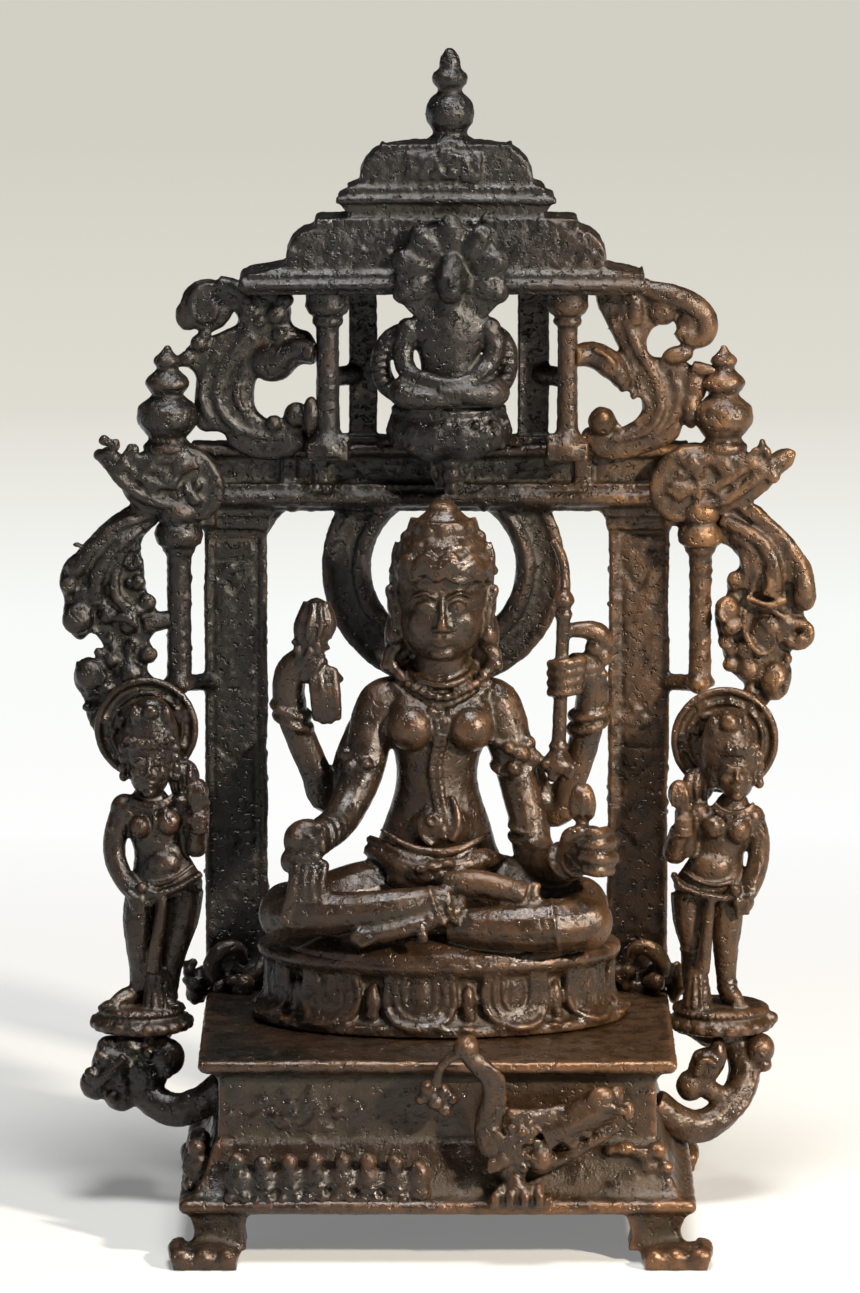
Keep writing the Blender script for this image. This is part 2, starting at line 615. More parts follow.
def calmHead():
    x, y, z = goddess["head"]
    ball(x, y + 1, z + 3, (12.2, 11, 11.8), fine=32)  # skull
    ball(x, y - 1.2, z - 4.2, (11, 9.6, 11.2), fine=32)  # lower face
    ball(x, y - 8, z - 12, (3.4, 2, 2.2))  # chin
    ball(x, y - 8, z + 7.4, (8, 2.4, 3.4), fine=14)  # forehead
    for side in (-1, 1):
        ball(x + side * 5.4, y - 6.8, z - 4, (3.8, 2.6, 4), fine=14)  # cheek
        strand([(x + side * 1.5, y - 10.4, z + 3.2), (x + side * 4.6, y - 10.4, z + 4.7),
                (x + side * 8, y - 8, z + 3.4)], [0.5, 0.6, 0.45])  # brow
        ball(x + side * 4.5, y - 9.0, z + 0.7, (2.7, 1.25, 1.3), (0, 0, side * 20))  # eye
        strand([(x + side * 1.9, y - 9.9, z + 0.6), (x + side * 4.3, y - 10.2, z + 1.9),
                (x + side * 6.8, y - 8.6, z + 0.9)], [0.4, 0.5, 0.35])  # upper lid
        strand([(x + side * 2, y - 9.8, z + 0.3), (x + side * 4.3, y - 10, z - 0.6),
                (x + side * 6.6, y - 8.6, z + 0.5)], [0.3, 0.4, 0.3])  # lower lid
        ball(x + side * 1.5, y - 11, z - 5.1, (1.15, 1.1, 0.9))  # nostril
        # hair over the temple, long ear and a ring in its lobe
        ball(x + side * 11.2, y + 3.4, z + 7, (3.2, 4.6, 7))
        ball(x + side * 11.4, y + 4, z - 9, (4.4, 3.4, 8.4))
        ball(x + side * 12.8, y + 1.4, z + 0.4, (2.2, 2.8, 5.2))
        ball(x + side * 14, y + 0.6, z + 3, (1.4, 1.6, 2.6), (0, side * 16, 0))
        strand([(x + side * 12.4, y + 0.2, z - 1.6), (x + side * 12.2, y - 0.4, z - 6.4)], [1.9, 1.5])
        ball(x + side * 12.6, y - 0.4, z - 8.4, (2.4, 1.9, 2.6))
        roll([(x + side * 12, y + 1.2, z - 11), (x + side * 14.2, y + 1.4, z - 14.6),
              (x + side * 13, y + 1, z - 18)], [2, 2.2, 1.8])
        ball(x + side * 15, y + 0.8, z - 16.8, 1.8)
        ball(x + side * 11.4, y - 0.4, z - 19.2, 1.7)
    strand([(x, y - 9.8, z + 3.4), (x, y - 11.1, z - 0.4), (x, y - 12, z - 4)], [0.8, 1, 1.4])  # nose
    ball(x, y - 12, z - 4.6, (1.35, 1.2, 1.15))
    strand([(x - 4.2, y - 9, z - 7.8), (x - 1.5, y - 10.4, z - 7.5), (x, y - 10.4, z - 7.8),
            (x + 1.5, y - 10.4, z - 7.5), (x + 4.2, y - 9, z - 7.8)], [0.35, 0.75, 0.65, 0.75, 0.35])
    strand([(x - 3.4, y - 9, z - 8.6), (x, y - 9.8, z - 9.4), (x + 3.4, y - 9, z - 8.6)], [0.45, 0.95, 0.45])
    # row of curls along the hairline
    for turn in range(-84, 85, 12):
        a = math.radians(turn)
        ball(x + 10.9 * math.sin(a), y - 10.2 * math.cos(a) + 0.4, z + 10 - 4.6 * math.sin(a) ** 2 * abs(a),
             1.4)


def crown():
    x, y, z = goddess["head"]
    x += 0.4
    loft([[z + 8, x, y + 0.6, 11.4, 11], [z + 10.6, x, y + 0.4, 12.4, 11.6], [z + 15.4, x, y, 11.8, 11],
          [z + 17, x, y, 10.6, 9.8], [z + 18.4, x, y, 9, 8.4], [z + 22.6, x, y, 8, 7.4],
          [z + 24.6, x, y, 6, 5.6], [z + 26.4, x, y, 4, 4]], sides=32)
    # waved hair over the brow, rubbed bright
    for lift, out in ((10.2, 12), (12.2, 12.4), (14, 12)):
        wave = [(x + out * math.sin(math.radians(a)), y - (out - 0.4) * math.cos(math.radians(a)),
                 z + lift + 1.1 * math.sin(a * 0.2) - 2.6 * (abs(a) / 90) ** 2) for a in range(-90, 91, 10)]
        strand(wave, 1.3)
    # leaf-shaped plates round the band, tallest in front
    for turn, size in ((-72, 1.8), (-44, 2), (-14, 2.2), (18, 2.4), (46, 2), (74, 1.8)):
        a = math.radians(turn)
        ball(x + 10.4 * math.sin(a), y - 9.8 * math.cos(a), z + 16.6, (size * 1.4, 1, size * 0.8),
             (0, 0, turn))
        ball(x + 8.4 * math.sin(a + 0.2), y - 7.8 * math.cos(a + 0.2), z + 21, (size, 0.9, size),
             (0, 0, turn))
    for up, out in ((18.6, 9.2), (23, 8)):
        strand([(x + out * math.sin(0.3 * k), y - out * 0.94 * math.cos(0.3 * k), z + up)
                for k in range(-5, 6)], 0.7)
    for side in (-1, 1):  # tabs at the sides, stepping in towards the top
        strand([(x + side * 13, y + 1, z + 9), (x + side * 13, y + 1, z + 13),
                (x + side * 12.2, y + 1, z + 17)], [1, 1.3, 1])
        ball(x + side * 13.6, y + 0.6, z + 9.2, 1.4)
        ball(x + side * 10.2, y, z + 18.2, (1.6, 1.5, 2.2))
        strand([(x + side * 8.6, y, z + 18), (x + side * 8.6, y, z + 21.4), (x + side * 8, y, z + 24)],
               [1, 1.2, 0.9])
    for k in range(24):  # worn lumps between the leaves
        a, up = math.radians(chance.uniform(-80, 80)), chance.uniform(0, 9)
        out = 11.2 - (0.5 if up < 3 else 2.4 if up < 7 else 3.6)
        ball(*around(x, y, a, out, out * 0.94, z + 15 + up), chance.uniform(0.5, 0.9), fine=6)
    turned([[4.6, z + 23.6], [5, z + 24.8], [3.6, z + 26], [4, z + 27], [2.6, z + 28.2], [1, z + 28.6]], x,
           y, steps=20)
    # scroll on the front of the band
    strand([(x + 1, y - 11.8, z + 9.4), (x + 3.6, y - 11.8, z + 8.2), (x + 7, y - 10.2, z + 8.4),
            (x + 9, y - 8.4, z + 10), (x + 7.4, y - 10.2, z + 11.4), (x + 3, y - 12, z + 10.8)],
           [0.7, 0.9, 0.9, 0.8, 0.7, 0.6])


def finger(points, thick=1.15):
    roll(points, [thick * 1.05, thick, thick * 0.85][:len(points)])


def goddessHands():
    # lowered hand: a rough closed palm, its long fingers spread down over the knee
    ball(-35.2, -16.2, 106.6, (6.4, 4.6, 6.2), fine=14)
    ball(-37.4, -18, 107.4, (3.2, 2.8, 3.6))
    ball(-39.8, -18, 101.6, (2.6, 2.4, 3.4))
    ball(-32.2, -17.6, 109, (3.6, 2.8, 3.4))
    ball(-36, -18.6, 103.4, (4.4, 2.6, 2.8))
    ball(-35, -17.4, 97, (4.8, 2.8, 6), fine=12)
    for k in range(14):  # cast lumps on the back of the hand
        place = -35.2 + chance.uniform(-5.4, 5.4), -20, 107 + chance.uniform(-4.6, 4.6)
        ball(*place, (chance.uniform(0.8, 1.6), 0.8, chance.uniform(0.7, 1.3)), fine=6)
    for k in range(4):
        x = -38.8 + 2.5 * k
        finger([(x + 0.6, -19.2, 100.4), (x, -20.8, 94.6),
                (x - 2.2 + 1.6 * k, -20.6, 85.8 + 0.8 * abs(k - 1.5))], 1.7)
    strand([(-43, -19, 87.6), (-40, -20.8, 85), (-35, -21.4, 84.6), (-29.6, -20.8, 85.4), (-27, -19.6, 88)],
           [1, 1.5, 1.6, 1.5, 1])
    for k in range(3):  # ribbed cuff
        ring(-29.2 - 1.5 * k, -6.6 - 2.6 * k, 108 - 0.7 * k, 4.9, 0.9, (62, 0, -34))
    # right hand closed round the stem of a bud
    ball(41.2, -19.4, 105.4, (5.8, 4.8, 6.2), fine=14)
    roll([(34.8, -20.4, 106.4), (35.6, -22.8, 109.4), (38, -23.8, 110.8)], [2.3, 2.3, 1.9])
    for (x0, z0), (x1, z1), size in (((39.8, 110.6), (45.2, 110.2), 1.7), ((38.8, 107.2), (46.4, 107.4), 1.9),
                                     ((39, 103.6), (47, 103.2), 2), ((39.8, 100.2), (46.2, 99.8), 1.7)):
        roll([(x0, -23.6, z0), ((x0 + x1) / 2, -25, (z0 + z1) / 2), (x1, -21.8, z1)],
             [size * 0.9, size, size])
    ring(34.6, -13.6, 100.6, 5, 1, (58, 0, 40))
    strand([(39.2, -21, 108), (38.8, -21.6, 114)], 1.8)
    for side in (-1, 1):
        ball(38.8 + 1.5 * side, -21.8, 118.5, (2.3, 3.2, 5.1), (0, -7 * side, 0), fine=14)
    ball(38.8, -24.4, 118, (0.8, 0.8, 4.2))
    # raised left hand: bent over at the wrist, fingers drooping, and a stepped bud held up
    ring(-39.2, 12, 134.4, 4.9, 1.4, (6, 22, 0))
    ring(-39.8, 12, 137.6, 5, 1.3, (6, 18, 0))
    strand([(-39.8, 11.8, 138), (-40.4, 11, 144.4), (-38.8, 10, 149.6), (-34.8, 8.4, 151.6),
            (-31.4, 7, 149.4)], [4.5, 4.6, 4.4, 3.9, 3.2])
    for k in range(4):
        x = -33.2 + 1.9 * k
        finger([(x - 0.8, 6.6, 150.6 - 0.6 * k), (x, 4.8, 143.6 - 0.3 * k),
                (x + 0.4, 5.8, 135.4 + 0.9 * abs(k - 1.4))], 1.55)
    finger([(-30.4, 8, 149.6), (-27.6, 7.4, 148.2), (-26.2, 7.2, 146.8)], 1.1)
    ball(-35, 7.6, 149, (3.6, 2.6, 3.6))
    loft([[150.6, -35.4, 9, 3.4, 3.2], [153, -35, 9, 4, 3.8], [155.4, -34.4, 9, 5, 4.4],
          [157.2, -34, 9, 4.2, 3.9], [160.6, -33.2, 9, 5.1, 4.4], [163, -32.8, 9, 4.2, 3.8],
          [165.6, -32.8, 9, 3.9, 3.4], [169.2, -32.8, 9, 1.9, 1.8]])
    for turn in range(-90, 91, 36):
        a = math.radians(turn)
        strand([around(-33.8, 9, a, 4.4, 4, 157.6), around(-33.1, 9, a, 4.8, 4.2, 161.4),
                around(-32.7, 9, a, 2.9, 2.6, 168)], [0.8, 1.2, 0.8])
    for k in range(12):
        a = math.radians(chance.uniform(-80, 80))
        ball(*around(-34.4, 9, a, 4.8, 4.2, chance.uniform(153.4, 157.4)), chance.uniform(0.8, 1.4), fine=6)
    # raised right hand round a staff that leans a little outwards
    ring(40.9, 12, 133.4, 4.9, 1.45, (6, -14, 0))
    ring(41.4, 11.8, 137, 5, 1.4, (6, -12, 0))
    strand([(41.6, 11.6, 137), (42, 10.6, 144), (39.4, 9, 149.4), (36, 6.8, 151)], [4.5, 4.7, 4.3, 3.4])
    for k in range(4):
        z = 151.8 - 2.6 * k
        finger([(38.8 - 0.2 * k, 4.6, z + 0.5), (34, 2.2, z), (30.6, 4.8, z - 0.4)], 1.5)
    staff = [(120.4, 1.8), (121.6, 4), (124, 4.5), (126.6, 3.2), (127.6, 2.2), (128.6, 3), (130, 2.1),
             (140, 2), (150, 1.95), (163, 1.9), (165, 2.7), (166.4, 1.9), (168.6, 3.1), (170.4, 2.4),
             (172, 0.8)]
    strand([(32.6 + 0.034 * (z - 120), 5.6, z) for z, size in staff], [size for z, size in staff])
    for k in range(5):
        ball(32.8 + 3.4 * math.cos(k * 1.4), 3.2, 123 + 2.8 * math.sin(k * 1.4), 1.5)
    roll([(35.4, 7, 160.2), (39.6, 7.4, 160.4), (43.4, 8.2, 159.4), (45.4, 9, 157)], [2, 2.5, 3, 2.8])
    for x, z, size in ((42.6, 155.2, 2.8), (45, 152.6, 2.5), (43, 150, 2.3), (44.6, 147.8, 1.8)):
        ball(x, 8.4, z, size)
    strand([(31.4, 14, 184), (33.6, 12, 180), (34.6, 9, 174), (34.4, 6.4, 170)], [1.2, 1.5, 1.5, 1.6])


def goddessBody():
    loft(goddess["torso"], sides=32)
    for x, y, z, size in goddess["breasts"]:
        ball(x, y, z, (size, size * 0.98, size), fine=22)
        ball(x, y + 3, z + 3.4, (size * 0.98, size * 0.8, size * 0.9), fine=18)
    for side in ("left", "right"):
        strand(goddess["armLow"][side], goddess["armLowRadii"][side])
        strand(goddess["armHigh"][side], goddess["armHighRadii"])
    ball(0.8, 4.2, 106, (9, 5.6, 7.6), fine=18)  # belly
    ball(-24.6, 1.8, 112.4, 5)
    # armlets: a ring with a flower of beads on the outer side
    ring(20.4, 8.8, 121.6, 5.5, 1.1, (10, 14, 0))
    ring(19.8, 9.6, 129.4, 5.9, 0.9, (8, 12, 0))
    for x, y, z, size in ((24.4, 7.6, 129, 2.5), (26, 7, 124.8, 2.8), (22.6, 4.2, 126.6, 2.6),
                          (20.6, 3, 122.8, 2.2), (19.4, 3.2, 128.6, 1.9), (24.6, 5.4, 121.6, 1.8)):
        ball(x, y, z, size)
    ring(-20.4, 7.2, 124, 5.8, 1, (10, -14, 0))
    for x, y, z, size in ((-25, 6, 126.4, 2.2), (-23.6, 2.6, 123.6, 1.8), (-19.4, 1.6, 124.4, 1.8)):
        ball(x, y, z, size)
    for z in (103.6, 106.8):
        ring(24.8, 4.4, z, 5.2, 0.8, (14, 6, 0))


def goddessLegs():
    # thighs run back to the hips; the shins cross in front of them
    strand([(12, 8, 88), (26, 0.6, 88), (37, -6, 86.8)], [11, 10, 8.8])
    ball(38, -8, 86.6, (8.4, 8, 8.8), fine=22)
    strand([(-12, 8, 87), (-20, 4, 86.8), (-29, -1, 85.8), (-38.6, -8, 85)], [11, 10.5, 9.6, 8.8])
    ball(-39.6, -9.4, 85.4, (8.8, 8.6, 8.8), fine=22)
    strand(goddess["calf"], [7.5, 7.2, 6.6, 5.4, 4])
    ball(39.2, -16.6, 84.4, (8.1, 7.6, 8), fine=36)
    strand(goddess["shin"], [8, 6.6, 5.7, 5.3, 4.3, 3.6])
    turned([[43, 73], [42, 76.4], [37, 79], [28, 81], [14, 82], [3, 82.2]], 0.5, -0.6, 0.56, 64)
    # upper foot, across the right thigh, and the lower one, towards the left
    strand([(2, -18, 95), (9, -19.4, 95.8), (17, -20.4, 94.6), (23.6, -20.8, 92.8)], [3.4, 3.8, 3.7, 3.2])
    for k in range(4):
        ball(25.6 + 0.4 * (k % 2), -22.4 + 0.7 * k, 90.6 + 1.5 * k, (2.1, 1.3, 1.2))
    strand([(6, -22.4, 88.8), (0, -24.4, 87), (-6, -25.4, 85.2), (-15, -25.8, 83.2), (-20, -25.6, 82.4)],
           [1.9, 2.2, 2.5, 2.5, 2.4])
    ball(-21, -25.8, 82.2, (2.6, 2.2, 2.5))
    for k in range(3):
        ball(-20 + 1.2 * k, -27.4, 80.6 + 0.6 * k, (1.5, 1.1, 1.1))
    ring(4.6, -22.8, 88.4, 3.1, 0.9, (20, 64, 0))
    for x, z in ((0.4, 88.4), (3.2, 89.6), (1.6, 86.4), (-2.2, 87.4)):
        ball(x, -26, z, 1.2)
    strand([(-5, -26.8, 85), (-4, -27.4, 83.2), (-3.8, -27.2, 81)], [1.1, 1.5, 1.3])
    # knee bands and anklet
    for x, size in ((25.6, 6.9), (29.4, 7.1), (31.6, 7.2)):
        ring(x, -20.8, 84.4, size, 0.5, (6, 82, 6))
    for x in (-30.4, -28):
        ring(x, -18.8, 87.6, 6.1, 0.6, (-6, 76, 0))
    ring(-1, -21.4, 91.2, 4.1, 0.6, (0, 74, 0))


def goddessDress():
    # heavy folds of the skirt below the belly
    strand([(-19, 8, 99.6), (-15, 2, 98.6), (-10, -5, 96.4), (-5, -10, 95.6), (-1, -12.4, 96)],
           [1.7, 2.4, 2.7, 2.4, 1.8])
    strand([(-18.6, 9, 102.4), (-13.6, 2, 101.6), (-8, -3.4, 99), (-2, -6, 98)], [1.2, 1.6, 1.8, 1.5])
    strand([(-2, -9, 98.4), (3.4, -9.4, 98.2), (9, -7.4, 98.8), (14, -2.6, 98.8), (19.4, 5, 97)],
           [1.8, 2.3, 2.5, 2.2, 1.6])
    strand([(8, -8, 101), (12.6, -4.4, 100.4), (17.4, 0.6, 98.6)], [1.2, 2.1, 1.2])
    strand([(-15.4, 2.4, 106.4), (-9.4, -2, 103.2), (-3.4, -3.8, 101.4), (4.8, -3.8, 101.6),
            (10, -1.4, 103.4), (14.6, 3, 105.6)], [0.6, 1, 1.3, 1.3, 1, 0.6])
    ball(0, -4, 94, (14, 8, 5), fine=16)
    for x, y, z in ((-4.4, -12, 98), (-1, -12.6, 98.8), (2.6, -12, 99.4), (13, -6.4, 99.6), (6, -11, 96.6)):
        ball(x, y, z, (2.1, 1.6, 1.5))
    strand([(1, -12, 95.6), (4, -15.6, 94), (5.6, -19, 91.6), (6.4, -22.4, 89)], [2.2, 2.2, 2, 1.6])
    # collar and necklaces
    neck = (1.2, 12.6)
    strand(roundTheFront(neck, (8.8, 8.4), [(-100, 150.6, 0), (-60, 148.4, 0.4), (-20, 146.2, 1),
                                            (10, 146, 1.2), (50, 148, 0.6), (100, 150.8, 0)]), 1.05)
    beads(roundTheFront(neck, (10.2, 9.6), [(-100, 149.4, 0.4), (-64, 146.6, 1.4), (-30, 144, 0.8),
                                            (0, 142.6, 0.6), (30, 144, 0.8), (64, 146.8, 1.6),
                                            (100, 149.8, 0.4)]), 1.25)
    low = roundTheFront(neck, (12.8, 9.4), [(-72, 145.4, 1.4), (-40, 141.8, 0.8), (-18, 139.6, 0.4),
                                            (0, 138.4, 0.5), (18, 139.6, 0.4), (40, 142, 0.8),
                                            (72, 145.8, 1.4)])
    strand(low, 0.8)
    beads([(x, y - 0.5, z - 1.3) for x, y, z in low], 0.95, 2.4)
    for x, z in ((-1.6, 138.6), (1, 137.6), (3.4, 138.4), (0, 135.8), (2, 135.4)):
        ball(x, 2.4, z, (1.4, 1.2, 1.5))
    for dx in (-1, 1):  # double chain of beads down the front
        beads([(0.9 + dx, 1.4, 136), (0.6 + dx, 1.8, 130), (-0.6 + dx, 2.4, 124), (-0.2 + dx, 2.4, 118),
               (1 + dx, 1.2, 112), (2.4 + dx, -0.6, 107), (2.4 + dx, -1.4, 103)], 1.05, 1.9)
    strand([(3.8, 1.6, 116), (5.2, 0.4, 111.6), (5.4, -0.4, 107.4), (3.8, -1.4, 103.6)], [0.7, 1.2, 1.4, 1])
    strand([(-2.6, 2, 113), (-4.6, 0.8, 108.8), (-4, -0.6, 104.6), (-1.4, -1.6, 102.4)], [0.5, 0.7, 0.8, 0.6])
    ring(-1.4, -1, 109.4, 1.3, 0.5, (84, 0, 0))


def makeGoddess():
    calmHead()
    crown()
    goddessBody()
    goddessHands()
    goddessLegs()
    goddessDress()
    piece = castPiece("goddessFigure", 0.52, pitted=0.3, pitSize=2.6, keep=183000)
    handOver(piece, "goddess", wornBronze)


makeGoddess()
print("goddess ready")

# Plinth

plinth = {"outside": [[67, 13], [67.8, 15], [67.2, 17.2], [65, 18], [62.4, 22.5], [60.3, 29], [59.9, 31],
                      [58.6, 31.8], [58.4, 40], [58.5, 48], [60, 49.8], [62.6, 50.4], [62.9, 52.2],
                      [62.4, 53.9]], "depthLess": 10.5, "inside": (54, 44), "ceiling": 49.5,
          "foot": {"outX": 61.8, "outY": 57}, "rowOfFigures": [-53.6, -46.4, -39.4, -32.6, -25.4, -18.2,
                                                               -11.4, -4.6],}


def plinthBody():
    less = plinth["depthLess"]
    tiers([[half, half - less, z] for half, z in plinth["outside"]])
    shell = wax["shapes"][-1]
    insideX, insideY = plinth["inside"]
    bpy.ops.mesh.primitive_cube_add(size=mm, location=metres(0, 0, plinth["ceiling"] - 25),
                                    scale=(2 * insideX, 2 * insideY, 50))
    core = bpy.context.object
    pick(shell)
    applyModifier("BOOLEAN", operation="DIFFERENCE", object=core, solver="EXACT")
    bpy.data.objects.remove(core)
    outX, outY = plinth["foot"]["outX"], plinth["foot"]["outY"]
    for sideX in (-1, 1):
        for sideY in (-1, 1):
            x, y = sideX * outX + (1.6 if sideX > 0 else 0), sideY * outY
            # post, waisted, and the paw it stands on
            tiers([[7.4, 7.2, 3], [6.6, 6.6, 8], [7.6, 7.4, 12], [8.3, 8, 15]], sideX * (outX - 3.6),
                  y - sideY * 8.2)
            ball(x, y, 2.2, (9.4, 9.2, 3.8), fine=12)
            block(x - 8.6, x + 8.6, y - 8.4, y + 8.4, -0.4, 3)
            for k in range(3):  # toes
                ball(x - 6 + 6 * k, y + sideY * 7, 3, (2.8, 2.6, 3))
            roll([(x + sideX * 7.4, y - 7, 3.4), (x + sideX * 7.8, y, 4.2), (x + sideX * 7.2, y + 7, 3.4)],
                 [2.2, 2.4, 2.2])
    # rolled front edges of the plate and the skirt
    for half, z, r in ((62.2, 52.4, 1.75), (67.2, 15.2, 1.9)):
        deep = half - less
        for side in (-1, 1):
            roll([(-half, side * deep, z), (-half * 0.4, side * (deep + 0.2), z + 0.3),
                  (half * 0.3, side * deep, z - 0.2), (half, side * deep, z + 0.2)], r)
            roll([(side * half, -deep, z), (side * (half + 0.1), 0, z), (side * half, deep, z)], r)
    for k in range(60):  # rough patch on the dado, left as cast
        x, z = chance.gauss(-37, 6.5), chance.gauss(38.6, 3.6)
        if 33 < z < 46:
            ball(x, -48, z, chance.uniform(0.5, 1.2), fine=5)
    # lumps where metal ran on the plate and along the right of the skirt
    lumps(46, [-58, 58], [-50, -30], 54, ([0.8, 2], [0.6, 1.4], 0.5), 5)
    for x, z, r in ((46, 29.4, 1.6), (50, 30, 2.2), (54.4, 28.4, 2), (58.6, 29.4, 2.4), (56, 25, 1.8),
                    (61, 24.6, 2), (52, 23, 1.4)):
        ball(x, -51.2, z, (r * 1.2, r, r))
    piece = castPiece("plinthBody", 0.85, pitted=0.55, pitSize=3, keep=80000)
    handOver(piece, "plinth", wornBronze)


def smallSeatedFigure(x, y, z, plain=False):
    ball(x, y, z + 3, (3.5, 3, 3.4))
    ball(x, y - 0.2, z + 7.2, (3.1 if not plain else 3.4, 2.7, 4.8))
    if plain:
        return
    for side in (-1, 1):
        ball(x + side * 1.9, y - 1.6, z + 2, (1.8, 2, 2))
        roll([(x + side * 2.4, y - 0.4, z + 9), (x + side * 2.9, y - 1.1, z + 6),
              (x + side * 0.9, y - 2.2, z + 4.6)], 1)
    ball(x, y - 0.6, z + 11.7, (2.5, 2.4, 2.6))


def plinthFigures():
    for k, x in enumerate(plinth["rowOfFigures"]):
        smallSeatedFigure(x + chance.uniform(-0.3, 0.3), -55 + 0.1 * k, 15.4 + chance.uniform(-0.4, 0.5),
                          plain=k == 7)
    for k in range(2):
        smallSeatedFigure(-64.4, -46 + 10 * k, 17.4)
    for y in (30, -20):
        ball(-64, y, 24, (2.6, 5, 4.6))
    for z, r in ((21, 3.6), (26.4, 2.8), (30, 2)):
        ball(-65 + 0.24 * (z - 20), -38, z, (r, r * 1.2, r))
    # the goose: chest, neck, head bent to the left, wing, tail, leg and claws
    ball(22, -53.6, 33, (6.6, 5.6, 5), (0, -24, 0), fine=16)
    lumps(18, [12, 24], -60.4, [26, 36], ([1, 2], 1, [1, 2]), 6)  # breast
    strand([(21.6, -56, 23), (17.6, -56, 28.4), (14.4, -56.4, 33.4), (13.4, -57, 39), (14.4, -58.2, 45),
            (14, -59.8, 50.6), (10.6, -60.8, 55.4), (7.8, -61, 58.6)], [3.6, 4.4, 4.6, 3.7, 3, 2.9, 3, 3])
    strand([(16.4, -58.4, 38), (17.2, -59.4, 45), (16.6, -61, 51.4), (13, -62.4, 55.6)], [1, 1.3, 1.2, 0.8])
    ball(8.4, -61, 62, (1.9, 1.9, 1.2))
    lumps(26, [22, 40], -58.4, [33, 42], ([1, 2], 1.2, [0.8, 1.6]), 6)  # ruffled feathers on the back
    ball(7.6, -61.2, 59.6, (3.6, 3.4, 3.5), fine=12)
    roll([(5.6, -62, 58.4), (2.6, -62.4, 56.6), (0.4, -62, 53.4), (-0.2, -61.2, 50.4)], [1.5, 1.4, 1.4, 1.8])
    for x, z, r in ((-2.6, 47.4, 2.4), (1.6, 46.8, 2.2), (-0.4, 43.8, 2.6), (4, 44.6, 1.9),
                    (-4.6, 44.4, 1.6), (2, 41.4, 1.8)):
        ball(x, -55.6, z, (r, r * 1.3, r))
    ball(8.6, -63.6, 60.4, 0.8)
    for k in range(5):  # wing feathers
        roll([(20 + 2.4 * k, -60 + 0.5 * k, 41.4 - 0.6 * k), (25.5 + 2 * k, -59 + 0.5 * k, 40.6 + 0.3 * k),
              (31 + 1.6 * k, -57.6 + 0.4 * k, 38.4 + 0.9 * k)], [1.7, 1.8, 1.1])
    for k in range(7):
        a = k * math.pi / 3.5
        ball(22.4 + 3.2 * math.cos(a), -60.6, 36.6 + 3 * math.sin(a), 1.2)
    ball(22.4, -61, 36.6, 1.7)
    # tail: a raised block of plumes, then one straight plume below it
    strand([(28, -55.6, 36), (35, -56, 38.4), (42, -56.4, 42), (47, -56, 42.6)], [4.8, 5, 5.4, 4])
    ball(43, -59.4, 45.4, (4, 2.6, 3.4), (0, -24, 0), fine=12)
    for k in range(4):
        roll([(33 + 1.5 * k, -59.6, 37.4 + 0.8 * k), (38.4 + 2 * k, -60.2, 40 + 1.2 * k),
              (42.6 + 2.2 * k, -59, 43.6 - 0.6 * k)], [1.5, 1.7, 1.2])
    ball(46.4, -56.4, 44.4, (2.8, 3.4, 4.4), (0, 24, 0))
    ball(50.6, -54.6, 41, (1.8, 2.4, 3))
    roll([(28, -56.4, 26.6), (34.6, -56.6, 29.4), (42, -55.8, 33.4), (46.8, -54.6, 36.6)], [2.3, 1.9, 1.7, 2])
    ball(27.4, -57.4, 28.6, (3.9, 3.6, 4.1), fine=16)
    strand([(21, -56, 28), (20.4, -58, 24), (21, -59.6, 20.4)], [3.6, 3, 2.6])
    for k in range(4):
        roll([(17.4 + 3.2 * k, -59, 21), (15.6 + 3.8 * k, -61.4, 19.4), (15.2 + 4 * k, -61.8, 17.6)],
             [1.6, 1.5, 1.3])
    block(13.6, 30.6, -60.6, -52, 15.6, 18.8)
    # curled arms that carry the attendants' stands
    arms = {1: ([(59, 8, 28.4), (66, 9, 23.6), (72.6, 11, 22.2), (79.6, 14, 26.4), (83.8, 17, 33),
                 (84, 18.6, 39), (80.4, 20.6, 47)], [5.2, 4.7, 4.5, 4.5, 4.6, 4.4, 5]),
            -1: ([(-58, 8, 33.4), (-65, 9, 28.8), (-73, 11, 26.8), (-80, 14, 30.6), (-84, 17, 37),
                  (-84, 19.6, 41), (-82, 21.4, 47)], [5.2, 4.6, 4.6, 4.8, 5.2, 5.2, 5])}
    for side, (points, radii) in arms.items():
        strand(points, radii)
        for lift in (-0.6, 0.2):  # ribs along the arm
            strand([(x + side * 3.6 * (1 if k > 2 else 0.2) * (0.6 + lift), y - 3.4 + 2.2 * abs(lift),
                     z - 3.2 * (1 if k < 4 else 0) * (0.5 - lift)) for k, (x, y, z) in enumerate(points)],
                   1.2)
    roll([(79, 14, 29.4), (74.6, 12.4, 31.6), (71.6, 12, 35.6), (72.4, 12, 40.4)], [2.8, 3, 3.2, 3])
    ball(73.8, 12, 38.8, (4.4, 4.4, 5), fine=12)
    strand([(70.6, 8.4, 36.6), (73, 7.4, 41), (76.4, 8, 39.4)], 1)
    strand([(66, 22, 47.4), (70, 22, 46.4), (75, 22, 46)], [1.8, 2, 2.2])
    ball(69.4, 12, 33, (4.2, 4, 4.4), fine=12)
    ball(76.8, 12, 41.4, (2.6, 3, 5))
    ball(88.4, 17, 42.4, (4.4, 4.2, 4.4), fine=12)
    ball(89.6, 16, 38, (2.4, 2.6, 2.2))
    for x, z, r in ((-88.4, 38.2, 6.6), (-93.6, 33, 4.6), (-74.6, 40.4, 5.6), (-90, 43, 3.6),
                    (-84.4, 43, 4.6), (-86.6, 30.4, 5.2), (-80, 36, 6.4)):
        ball(x, 14.4, z, (r, r * 0.9, r), fine=12)
    for x, z in ((-92, 41.4), (-95, 36.6), (-86, 34), (-79, 42.6), (-89, 30), (-74, 37)):
        ball(x, 10.6, z, 1.9)
